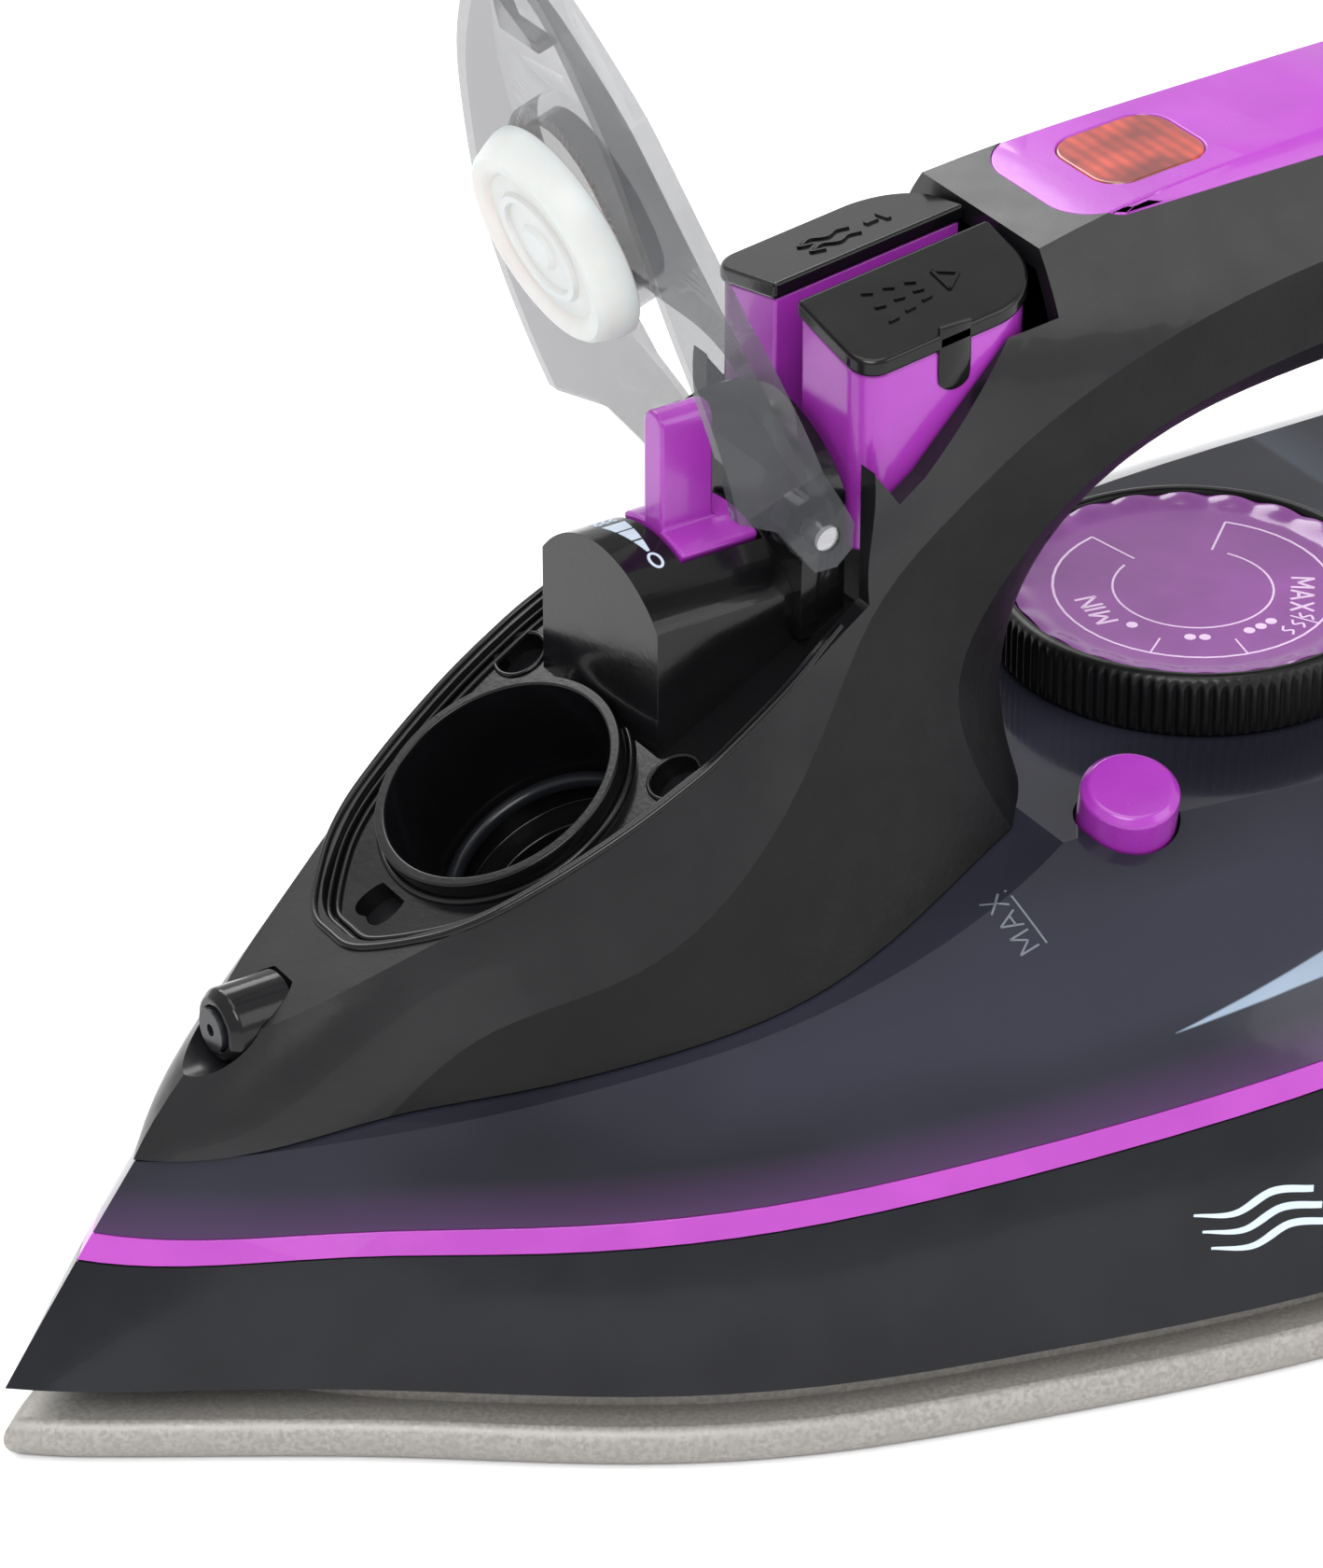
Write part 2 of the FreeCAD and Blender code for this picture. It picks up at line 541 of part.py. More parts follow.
formed("skirt", hull_wall().common(band_line(0)).cut(heel_cut()))
formed("seal_band", hull_wall().common(band_line(size("band_height"))).cut(band_line(size("band_joint"))))
formed("water_tank", water_tank())
formed("tank_floor", tank_floor())


# ---------------------------------------------------------------- upper shell: nose, column and grip
def side_rounding(y):
    """How far the rounded underside of the grip has climbed at a distance from the middle."""
    half, climb, blend = 17.6 * across, 14.0, 14.5 * across
    reach = min(abs(y), blend)
    root = math.sqrt(1 - (reach / half) ** 2)
    return climb * (1 - root) + (abs(y) - reach) * climb * reach / half ** 2 / root


def gap_section(y, extra):
    """Finger gap's outline at a distance from the middle, made smaller by extra."""
    outline = [(point[0] * along, point[1]) for point in FINGER_GAP]
    shares = [point[2] if len(point) > 2 else 1.0 for point in FINGER_GAP]
    moved = []
    for i, share in enumerate(shares):
        moved.append(offset_side(outline, side_rounding(y) * share + extra)[i])
    vectors = [V(x, y, z) for x, z in moved]
    return Part.Wire([spline(vectors), Part.LineSegment(vectors[-1], vectors[0]).toShape()])


def finger_gap(extra):
    stations = (-26, -18, -14, -8, 0, 8, 14, 18, 26)
    return Part.makeLoft([gap_section(y * across, extra) for y in stations], True, False)


def side_contour(inside):
    """Side view of the upper shell as a solid: nose under the deck plane, column and grip under their top."""
    step = size("grip_wall") if inside else 0.0
    deck_low = -size("deck_recess") - size("deck_thickness") - 1.2 if inside else 0.0
    nose = box(-50, 97.0 * along, -WIDE, WIDE, 0, 200).common(under_deck(deck_low))
    top = under_curve(offset_side(lengthened(GRIP_TOP), -step))
    column = top.common(box(93.4 * along + step, 400, -WIDE, WIDE, 0, 200))
    return nose.fuse(column).cut(finger_gap(step))


tray_edge = inset_outline([(u * along, y * across) for u, y in LID_EDGE], size("deck_rim_width"))
deck_low = -size("deck_recess") - size("deck_thickness")
button_x = size("button_x")
button_end = button_x + size("button_length")
column_x = 93.4 * along


def upper_shell():
    outside = upper_outside.common(side_contour(False)).common(ahead_of_heel).cut(shoulder_line(gap))
    cavity = upper_inside.common(side_contour(True)).common(box(-50, heel_x - 0.01, -WIDE, WIDE, -10, 200))
    shell = outside.cut(cavity)
    pocket = deck_prism([(tray_edge[0][0], 0)] + tray_edge[1:-1] + [(60.0 * along, 13.4 * across)], deck_low, 30)
    shell = shell.cut(pocket.common(box(-50, 96.0 * along, -WIDE, WIDE, 0, 200)))
    side = size("button_outer") + 0.4
    bay = box(button_x - 0.5, button_end + 0.8, -side, side, size("button_bottom") - 4.5, 130)
    window = side_prism(lengthened(BUTTON_WINDOW), WIDE).common(box(column_x, 130 * along, -WIDE, WIDE, 0, 200))
    nozzle = cylinder(size("nozzle_radius") + 0.1, V(size("nozzle_x"), 0, size("nozzle_height")),
                      V(0, 0, size("nozzle_height")))
    gland = cylinder(size("cord_radius") + size("gland_wall") - 0.8, cord_root, cord_root + CORD_AXIS * 60)
    for opening in (bay, window, nozzle, gland, filler_bore(0.1), valve_bore()):
        shell = shell.cut(opening)
    return shell


def rounded_plan(front, length, half_width, radius):
    """Tall block with rounded corners over a rectangle on the grip."""
    block = box(front, front + length, -half_width, half_width, 90, 130)
    return block.makeFillet(radius, [e for e in block.Edges if e.BoundBox.ZLength > 20])


shell = upper_shell()
under_seam = under_curve(lengthened(SEAM))
above_seam = shell.cut(under_seam)
cover_plan = rounded_plan(size("cover_x"), size("cover_length") * along, size("cover_half_width"), 6.0)
lens_plan = rounded_plan(size("lens_x"), size("lens_length"), size("lens_half_width"), 3.5)
formed("upper_cover", above_seam.cut(cover_plan))
formed("handle_top_cover", above_seam.common(cover_plan).cut(lens_plan))
formed("indicator_lens", above_seam.common(lens_plan))
formed("handle_shell", shell.common(under_seam))
keep(rod("indicator_lamp", "lamp_radius", "lens_length - 4", ("lens_x + 2", "0", "lamp_height"), BACKWARDS),
     "indicator_lamp")


# ---------------------------------------------------------------- deck tray with its hump, filler cup
def hump_block():
    crest = side_prism(lengthened(HUMP), 12.2 * across)
    round_top = cylinder(15.0, V(60 * along, 0, 80.5), V(120 * along, 0, 80.5))
    return crest.common(round_top).cut(under_deck(-size("deck_recess")))


def deck_tray():
    outline = [(tray_edge[0][0] + 0.15, 0)] + [(u, y - 0.15) for u, y in tray_edge[1:-1]] + [(57 * along, 13.0)]
    tray = deck_prism(outline, deck_low, -size("deck_recess"))
    tray = tray.common(box(-50, column_x - 0.6, -WIDE, WIDE, 0, 200))
    latch = deck_prism([(-1.8, 0), (-1.7, 2.1), (1.9, 2.15), (2.0, 2.1)], -20, 20)
    tray = tray.cut(latch).cut(filler_bore(0.1))
    for side in (-1, 1):
        well = side * size("well_across")
        tray = tray.cut(cylinder(size("well_radius"), on_deck(size("well_along"), well, -20),
                                 on_deck(size("well_along"), well, 20)))
    tray = tray.fuse(hump_block())
    for side in (-1, 1):
        ends = [hinge + V(0, side * size(f"hinge_boss_{end}"), 0) for end in ("inner", "outer")]
        tray = tray.fuse(cylinder(size("hinge_boss_radius"), *ends))
        ends = [hinge + V(0, side * size(f"hinge_pin_{end}"), 0) for end in ("inner", "outer")]
        tray = tray.cut(cylinder(size("hinge_pin_radius"), *ends))
    return tray.cut(valve_bore())


formed("deck_tray", deck_tray())
turned("filler_funnel", [("filler_throat", "0"), ("filler_radius", "0"),
                         ("filler_radius", "filler_depth + filler_proud"),
                         ("filler_radius - filler_wall", "filler_depth + filler_proud"),
                         ("filler_radius - filler_wall", "filler_lip"), ("filler_throat", "filler_lip")],
       deck_base("filler_along", "0", "-filler_depth"), towards(DECK_N))


# ---------------------------------------------------------------- steam regulator
housing_x = size("housing_x")
lever_x = size("lever_x")
lever_outer = size("barrel_radius") + 0.5


def housing_block(shrink):
    half = size("housing_half_width") - shrink
    block = box(housing_x + shrink, housing_x + size("housing_length"), -half, half, 50, 110)
    barrel = cylinder(size("barrel_radius") - shrink, V(60 * along, 0, size("barrel_height")),
                      V(120 * along, 0, size("barrel_height")))
    return block.common(barrel.fuse(box(60 * along, 120 * along, -30, 30, 50, size("barrel_height"))))


def sector(inner, outer, x0, x1, low_angle, high_angle):
    """Curved plate about the barrel's axis, between two angles from upright towards -Y."""
    height = size("barrel_height")
    plate = tube(outer, inner, V(x0, 0, height), V(x1, 0, height))
    centre = V(x0 - 1, 0, height)
    ends = [centre + V(0, -60 * math.sin(math.radians(a)), 60 * math.cos(math.radians(a)))
            for a in (low_angle, high_angle)]
    wedge = Part.Face(Part.makePolygon([centre, *ends, centre])).extrude(V(x1 - x0 + 2, 0, 0))
    return plate.common(wedge)


def regulator_housing():
    shell = housing_block(0).cut(housing_block(size("housing_wall")))
    slot = sector(5, 40, lever_x - gap, lever_x + size("lever_length") + gap,
                  -size("lever_half_angle") - size("lever_travel") - 1.5, size("lever_half_angle") + 1.5)
    return shell.cut(under_deck(-size("deck_recess"))).cut(hump_block()).cut(slot).cut(filler_bore(0.1))


def steam_lever():
    half = size("lever_half_angle")
    saddle = sector(lever_outer - size("lever_thickness"), lever_outer, lever_x, lever_x + size("lever_length"),
                    -half, half)
    low = size("barrel_height") + lever_outer - 1.0
    side = size("fin_thickness") / 2
    fin = box(lever_x, lever_x + size("fin_length"), -side, side, low, low + size("fin_height") + 1.0)
    edges = [e for e in fin.Edges if e.BoundBox.YLength < 0.01 and e.BoundBox.ZMin > low + 2
             and e.BoundBox.XLength > 2]
    return saddle.fuse(fin.makeFillet(side * 0.9, edges))


formed("regulator_housing", regulator_housing())
formed("steam_lever", steam_lever())
turned("steam_valve_rod", [("0", "0"), ("needle_radius", "0"), ("valve_rod_radius", "needle_length"),
                           ("valve_rod_radius", "valve_rod_length"), ("0", "valve_rod_length")],
       ("valve_x", "0", "valve_rod_low"))
turned("drip_valve_seat", [("drip_radius", "0"), ("seat_radius", "0"),
                           ("seat_radius", f"seat_top - ({cover_top})"),
                           ("valve_rod_radius + 0.1", f"seat_top - ({cover_top})"),
                           ("valve_rod_radius + 0.1", f"valve_rod_low - 1 - ({cover_top})"),
                           ("drip_radius", f"valve_rod_low - 1 - ({cover_top})")],
       ("valve_x", "0", f"{cover_top} + running_gap"))

# ---------------------------------------------------------------- spray nozzle
turned("spray_nozzle_body", [("nozzle_bore", "0"), ("nozzle_radius", "0"), ("nozzle_radius", "nozzle_length - 1"),
                             ("nozzle_radius - 0.8", "nozzle_length"), ("nozzle_bore", "nozzle_length")],
       ("nozzle_x - 0.5", "0", "nozzle_height"), FORWARDS)
turned("spray_nozzle_tip", [("nozzle_jet", "0"), ("nozzle_tip_radius", "0"), ("nozzle_tip_radius", "nozzle_length"),
                            ("nozzle_jet", "nozzle_length")],
       ("nozzle_x - 1", "0", "nozzle_height"), FORWARDS)


# ---------------------------------------------------------------- filler lid, built shut and then swung open
def lid_block(shrink):
    edge = [(u * along, y * across) for u, y in LID_EDGE]
    body = deck_prism(inset_outline(edge, shrink), size("lid_clearance") - (5 if shrink else 0), 20)
    back = [on_deck(u * along, 0, n - shrink) for u, n in LID_BACK]
    return body.common(side_prism([(p.x, p.z) for p in back], WIDE))


def filler_lid():
    lid = lid_block(0).cut(lid_block(size("lid_wall")))
    fork = [(29, 0), (29.2, 6), (30, 10), (32, 12), (38, 12.5), (50, 12.6), (60, 12.6), (70, 12.6)]
    notch = deck_prism([(u * along, y) for u, y in fork], -40, 40)
    tab = box(0, 3.2, -3.6, 3.6, 0, 6.0)
    tab.Placement = FreeCAD.Placement(on_deck(-2.8, 0, 0.6), towards(DECK_N))
    top = size("filler_proud") - size("stopper_plunge") + size("stopper_height")
    centre = [on_deck(size("filler_along"), 0, top + rise) for rise in (0, 20)]
    boss = tube(size("stopper_radius") - 1.5, size("stopper_radius") - 3.0, *centre)
    pins = cylinder(size("hinge_pin_radius") + size("running_gap"), hinge - V(0, 40, 0), hinge + V(0, 40, 0))
    lid = lid.cut(notch).fuse(tab.common(lid_block(0))).cut(pins)
    return lid.fuse(boss.common(lid_block(0)))


def swung_open(shape):
    moved = shape.copy()
    moved.rotate(hinge, V(0, 1, 0), size("lid_open_angle"))
    return moved


formed("filler_lid", swung_open(filler_lid()))
stopper_closed = FreeCAD.Placement(on_deck(size("filler_along"), 0, size("filler_proud") - size("stopper_plunge")),
                                   towards(DECK_N))
swing = FreeCAD.Placement(V(0, 0, 0), FreeCAD.Rotation(V(0, 1, 0), size("lid_open_angle")), hinge)
stopper_open = swing.multiply(stopper_closed)
turned("lid_stopper", [("0", "0.8"), ("stopper_radius - stopper_taper - 5", "0.8"),
                       ("stopper_radius - stopper_taper - 4.2", "0"), ("stopper_radius - stopper_taper", "0"),
                       ("stopper_radius", "stopper_height"), ("0", "stopper_height")],
       (f"{stopper_open.Base.x}", "0", f"{stopper_open.Base.z}"), stopper_open.Rotation)
lid_pins = []
for end, side in (("near", "-hinge_pin_outer"), ("far", "hinge_pin_inner")):
    lid_pins.append(rod(f"lid_pin_{end}", "hinge_pin_radius", "hinge_pin_outer - hinge_pin_inner",
                        deck_base("hinge_along", side, "hinge_above"), ON_SIDE))
keep(joined("Compound", "lid_hinge_pins", lid_pins), "lid_hinge_pins")


# ---------------------------------------------------------------- thumb buttons and pumps
def button_plan(side, grow, low, high):
    inner, outer = size("button_inner") - grow, size("button_outer") + grow
    y0, y1 = sorted((side * inner, side * outer))
    block = box(button_x - grow, button_end + grow, y0, y1, low, high)
    outside = [e for e in block.Edges if e.BoundBox.ZLength > high - low - 0.1
               and abs(e.BoundBox.YMin - side * outer) < 0.1]
    front = [e for e in outside if e.BoundBox.XMin < button_end - 5]
    rear = [e for e in outside if e.BoundBox.XMin > button_end - 5]
    return block.makeFillet(3.0, front).makeFillet(7.0, rear)


def under_slope(side, drop):
    """Everything below a button's top, which climbs to the rear and falls to the outside."""
    block = box(-200, 200, -200, 200, -300, 0)
    lean = FreeCAD.Rotation(V(1, 0, 0), -side * size("button_lean"))
    climb = FreeCAD.Rotation(V(0, 1, 0), -size("button_slope"))
    corner = V(button_x, side * size("button_inner"), size("button_top") + size("button_cap") - drop)
    block.Placement = FreeCAD.Placement(corner, climb.multiply(lean))
    return block


def pump_spring(side):
    """Open coil of four turns standing in the pump."""
    turns, rise, steps = 4, 2.1, 12
    foot = V(size("pump_x"), side * size("pump_across"),
             size("pump_bottom") + size("pump_floor") + size("spring_wire") + 0.1)
    radius = size("spring_radius")
    points = []
    for i in range(turns * steps + 1):
        angle = 2 * math.pi * i / steps
        points.append(foot + V(radius * math.cos(angle), radius * math.sin(angle), rise * i / steps))
    run = spline(points)
    ring = Part.Wire(Part.makeCircle(size("spring_wire"), points[0], run.tangentAt(run.FirstParameter)))
    return Part.Wire(run).makePipeShell([ring], True, False)


for side, name in ((-1, "spray"), (1, "steam")):
    bottom = size("button_bottom")
    body = button_plan(side, 0, bottom, 120).common(under_slope(side, size("button_cap")))
    stem_pocket = upright(size("stem_radius"), size("pump_x"), side * size("pump_across"), bottom, bottom + 4)
    formed(f"{name}_button_body", body.cut(stem_pocket))
    cap = button_plan(side, 0.35, 90, 120).common(under_slope(side, 0)).cut(under_slope(side, size("button_cap")))
    formed(f"{name}_button_cap", cap)
    across_text = f"{side} * pump_across"
    turned(f"{name}_plunger", [("0", "0"), ("pump_bore - running_gap", "0"),
                               ("pump_bore - running_gap", "piston_height"), ("stem_radius", "piston_height"),
                               ("stem_radius", "button_bottom + 4 - piston_low"),
                               ("0", "button_bottom + 4 - piston_low")],
           ("pump_x", across_text, "piston_low"))
    turned(f"{name}_pump", [("0", "0"), ("pump_radius", "0"), ("pump_radius", "pump_height"),
                            ("pump_bore", "pump_height"), ("pump_bore", "pump_floor"), ("0", "pump_floor")],
           ("pump_x", across_text, "pump_bottom"))
    formed(f"{name}_pump_spring", pump_spring(side))

# ---------------------------------------------------------------- temperature dial
dial_low = "tank_top + dial_gap"
web_top = "dial_height - disc_thickness - 0.6"
turned("dial_ring", [("shaft_radius", f"{web_top} - web_thickness"), ("disc_radius", f"{web_top} - web_thickness"),
                     ("disc_radius", "0"), ("dial_radius", "0"), ("dial_radius", "dial_height - 0.9"),
                     ("dial_radius - 0.9", "dial_height"), ("disc_radius", "dial_height"),
                     ("disc_radius", web_top), ("shaft_radius", web_top)],
       ("dial_x", "0", dial_low))
keep(rod("dial_disc", "disc_radius", "disc_thickness + 1", ("dial_x", "0", f"{dial_low} + {web_top}")), "dial_disc")
shaft_low = f"{cover_top} + thermostat_plate + 1.2"
keep(rod("dial_shaft", "shaft_radius", f"{dial_low} + {web_top} - ({shaft_low})", ("dial_x", "0", shaft_low)),
     "dial_shaft")

# ---------------------------------------------------------------- self clean button
clean_base = clean_seat - CLEAN_AXIS * size("clean_skirt")
turned("self_clean_button", [("0", "0"), ("clean_radius", "0"), ("clean_radius", "clean_height + clean_skirt - 0.8"),
                             ("clean_radius - 0.8", "clean_height + clean_skirt"),
                             ("0", "clean_height + clean_skirt")],
       (f"{clean_base.x / along} * overall_length / {DRAWN_LENGTH}", f"{clean_base.y}", f"{clean_base.z}"),
       towards(CLEAN_AXIS))
clean_foot = clean_base - CLEAN_AXIS * size("clean_rod_length")
turned("self_clean_rod", [("0", "0"), ("clean_rod_radius", "0"), ("clean_rod_radius", "clean_rod_length"),
                          ("0", "clean_rod_length")],
       (f"{clean_foot.x / along} * overall_length / {DRAWN_LENGTH}", f"{clean_foot.y}", f"{clean_foot.z}"),
       towards(CLEAN_AXIS))


# ---------------------------------------------------------------- heel, cord entry and terminals
def heel_slab(hull, upper, start, end, lift):
    """Slice of hull and grip across the heel, its bottom raised by lift."""
    slab = box(start, end, -WIDE, WIDE, -10, 200)
    slope = heel_cut()
    slope.translate(V(0, 0, lift))
    grip = under_curve(offset_side(lengthened(GRIP_TOP), -lift))
    return hull.common(slab).cut(slope).fuse(upper.common(slab).common(grip))


def heel_cover():
    outside = heel_slab(hull_outside, upper_outside, heel_x + 0.1, heel_rear, 0)
    return outside.cut(heel_slab(hull_inside, upper_inside, heel_x - 1, heel_rear - wall, wall))


formed("heel_cover", heel_cover())
feet = []
for i, (y, z) in enumerate(((-24, 30), (24, 30), (-8, 84), (8, 84))):
    feet.append(rod(f"heel_foot_{i}", "foot_radius", "heel_foot",
                    ("heel_x + heel_depth", f"{y} * body_width / {DRAWN_WIDTH}", f"{z}"), BACKWARDS))
keep(joined("Compound", "heel_feet", feet), "heel_feet")
turned("cord_gland", [("cord_radius - 0.9", "0"), ("cord_radius + gland_wall - 0.9", "0"),
                      ("cord_radius + gland_wall - 0.9", "gland_length"), ("cord_radius - 0.9", "gland_length")],
       ("cord_x + 2 * cos(cord_angle)", "0", "cord_height + 2 * sin(cord_angle)"), towards(CORD_AXIS))
turned("cord_swivel", [("cord_bore", "0"), ("cord_radius - 0.97", "0"), ("cord_radius - 0.97", "gland_length + 2"),
                       ("cord_radius", "gland_length + 2"), ("cord_radius - 1.5", "gland_length + 11"),
                       ("cord_bore", "gland_length + 11")],
       ("cord_x + cos(cord_angle)", "0", "cord_height + sin(cord_angle)"), towards(CORD_AXIS))
keep(solid("Box", "terminal_block", {"Length": "terminal_length", "Width": "2 * terminal_half_width",
                                     "Height": "terminal_height"},
           ("cord_x - 7", "-terminal_half_width", "56")), "terminal_block")

# ---------------------------------------------------------------- check and write
doc.recompute()
for thing in doc.Objects:
    if "Invalid" in thing.State or "Error" in thing.State:
        raise RuntimeError(f"{thing.Name} failed to compute")
os.makedirs("parts", exist_ok=True)
for piece in NODES:
    shape = piece.Shape
    if shape.isNull() or not shape.isValid():
        raise RuntimeError(f"{piece.Label} has no valid shape")
    shape.exportStep(f"parts/{piece.Label}.step")
    extent = shape.BoundBox
    print(f"{piece.Label}: {len(shape.Solids)} solid(s), {shape.Volume / 1000:.2f} cm3, "
          f"X {extent.XMin:.1f}..{extent.XMax:.1f} Z {extent.ZMin:.1f}..{extent.ZMax:.1f}")
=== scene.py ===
import json
import math

import bmesh
import bpy
import numpy as np
from mathutils import Matrix, Vector
from mathutils.bvhtree import BVHTree


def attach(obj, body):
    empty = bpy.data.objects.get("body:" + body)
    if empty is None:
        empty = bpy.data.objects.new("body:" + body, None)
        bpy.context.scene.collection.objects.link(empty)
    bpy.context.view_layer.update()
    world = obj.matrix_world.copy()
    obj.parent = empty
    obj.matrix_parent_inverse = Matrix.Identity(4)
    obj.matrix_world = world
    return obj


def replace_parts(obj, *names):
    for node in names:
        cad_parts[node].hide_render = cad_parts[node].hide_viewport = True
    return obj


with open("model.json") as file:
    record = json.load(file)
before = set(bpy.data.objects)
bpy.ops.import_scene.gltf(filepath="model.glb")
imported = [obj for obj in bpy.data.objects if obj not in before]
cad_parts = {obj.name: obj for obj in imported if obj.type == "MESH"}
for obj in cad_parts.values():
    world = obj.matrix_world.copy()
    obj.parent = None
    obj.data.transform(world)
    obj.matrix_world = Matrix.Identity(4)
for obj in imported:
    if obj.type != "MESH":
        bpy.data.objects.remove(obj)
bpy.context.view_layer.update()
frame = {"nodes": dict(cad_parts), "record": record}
MM = 0.001
NOSE_REACH = 142.5  # how far the nose tip lies ahead of the frame's origin, in millimetres
UPWARDS = (0.0, 0.0, 1.0)


def tone(red, green, blue):
    """Linear colour of a paint given as display values from 0 to 255."""
    shares = np.array([red, green, blue]) / 255.0
    linear = np.where(shares <= 0.04045, shares / 12.92, ((shares + 0.055) / 1.055) ** 2.4)
    return (*linear.tolist(), 1.0)


# ---------------------------------------------------------------- materials
class Finish:
    """A principled material under construction, with short ways to add grain, clouds and bumps."""

    def __init__(self, name, colour, roughness, **sockets):
        self.material = bpy.data.materials.new(name)
        self.material.use_nodes = True
        self.tree = self.material.node_tree
        self.shader = self.tree.nodes["Principled BSDF"]
        self.shader.inputs["Base Color"].default_value = colour
        self.shader.inputs["Roughness"].default_value = roughness
        for socket, value in sockets.items():
            self.shader.inputs[socket.replace("_", " ")].default_value = value
        self.place = self.node("ShaderNodeTexCoord").outputs["Object"]
        self.height = None

    def node(self, kind, **settings):
        made = self.tree.nodes.new(kind)
        for key, value in settings.items():
            setattr(made, key, value)
        return made

    def link(self, source, target):
        self.tree.links.new(source, target)

    def maths(self, operation, *terms):
        made = self.node("ShaderNodeMath", operation=operation)
        for socket, term in zip(made.inputs, terms):
            if isinstance(term, (int, float)):
                socket.default_value = term
            else:
                self.link(term, socket)
        return made.outputs[0]

    def noise(self, size_mm, detail=3.0, stretch=(1, 1, 1)):
        """Soft cloud pattern whose patches are about size_mm across."""
        turn = self.node("ShaderNodeMapping")
        turn.inputs["Scale"].default_value = stretch
        self.link(self.place, turn.inputs["Vector"])
        cloud = self.node("ShaderNodeTexNoise")
        cloud.inputs["Scale"].default_value = 1000.0 / size_mm
        cloud.inputs["Detail"].default_value = detail
        self.link(turn.outputs["Vector"], cloud.inputs["Vector"])
        return cloud.outputs["Fac"]

    def cells(self, size_mm):
        """Pebbled pattern of rounded cells about size_mm across."""
        grid = self.node("ShaderNodeTexVoronoi")
        grid.inputs["Scale"].default_value = 1000.0 / size_mm
        self.link(self.place, grid.inputs["Vector"])
        return grid.outputs["Distance"]

    def ramp(self, source, low, high, start, end):
        """Value that runs from start to end while the source goes from low to high."""
        made = self.node("ShaderNodeMapRange")
        for socket, value in zip(("From Min", "From Max", "To Min", "To Max"), (low, high, start, end)):
            made.inputs[socket].default_value = value
        self.link(source, made.inputs["Value"])
        return made.outputs["Result"]

    def mix(self, share, first, second):
        """Colour between two, by a share from 0 to 1."""
        made = self.node("ShaderNodeMix", data_type="RGBA")
        self.link(share, made.inputs["Factor"])
        for socket, colour in ((made.inputs[6], first), (made.inputs[7], second)):
            if isinstance(colour, tuple):
                socket.default_value = colour
            else:
                self.link(colour, socket)
        return made.outputs[2]

    def colour(self, source):
        self.link(source, self.shader.inputs["Base Color"])

    def rough(self, source, low, high, start, end):
        self.link(self.ramp(source, low, high, start, end), self.shader.inputs["Roughness"])

    def bump(self, source, depth_mm, strength=1.0):
        """Relief of a given depth, added to the relief already there."""
        made = self.node("ShaderNodeBump")
        made.inputs["Distance"].default_value = depth_mm * MM
        made.inputs["Strength"].default_value = strength
        self.link(source, made.inputs["Height"])
        if self.height is not None:
            self.link(self.height, made.inputs["Normal"])
        self.height = made.outputs["Normal"]
        self.link(self.height, self.shader.inputs["Normal"])

    def coordinate(self, letter):
        split = self.node("ShaderNodeSeparateXYZ")
        self.link(self.place, split.inputs["Vector"])
        return split.outputs[letter]


def moulded(name, colour, darker, roughness, coat=0.0, grain_mm=0.6, grain_depth=0.01, **sockets):
    """Moulded plastic: slight clouding of the colour, uneven gloss and a fine orange-peel relief."""
    made = Finish(name, colour, roughness, Coat_Weight=coat, Coat_Roughness=0.06, **sockets)
    clouds = made.noise(14.0, 4.0)
    made.colour(made.mix(made.ramp(clouds, 0.3, 0.7, 0.0, 1.0), colour, darker))
    made.rough(made.noise(5.0, 5.0), 0.3, 0.7, roughness * 0.85, roughness * 1.2)
    made.bump(made.noise(grain_mm, 2.0), grain_depth)
    return made.material


def granular_sole():
    """Warm grey coating with a fine grain and a broader mottle."""
    made = Finish("granular_sole", tone(150, 147, 142), 0.42, Metallic=0.3)
    fine = made.noise(0.55, 2.0)
    coarse = made.noise(2.4, 3.0)
    speckle = made.mix(made.ramp(fine, 0.38, 0.62, 0.0, 1.0), tone(138, 135, 130), tone(160, 157, 152))
    made.colour(made.mix(made.ramp(coarse, 0.35, 0.65, 0.0, 0.5), speckle, tone(146, 143, 138)))
    made.rough(fine, 0.3, 0.7, 0.38, 0.6)
    made.bump(fine, 0.03)
    made.bump(coarse, 0.06, 0.5)
    return made.material


def grained_charcoal():
    """Dull charcoal plastic with a pebbled grain."""
    made = Finish("grained_charcoal", tone(18, 18, 19), 0.5, Specular_IOR_Level=0.18)
    pebble = made.cells(0.75)
    clouds = made.noise(16.0, 4.0)
    made.colour(made.mix(made.ramp(clouds, 0.3, 0.7, 0.0, 1.0), tone(15, 15, 16), tone(22, 22, 23)))
    made.rough(made.noise(3.0, 4.0), 0.3, 0.7, 0.44, 0.56)
    made.bump(pebble, 0.05, 0.55)
    made.bump(made.noise(0.3, 2.0), 0.02, 0.5)
    return made.material


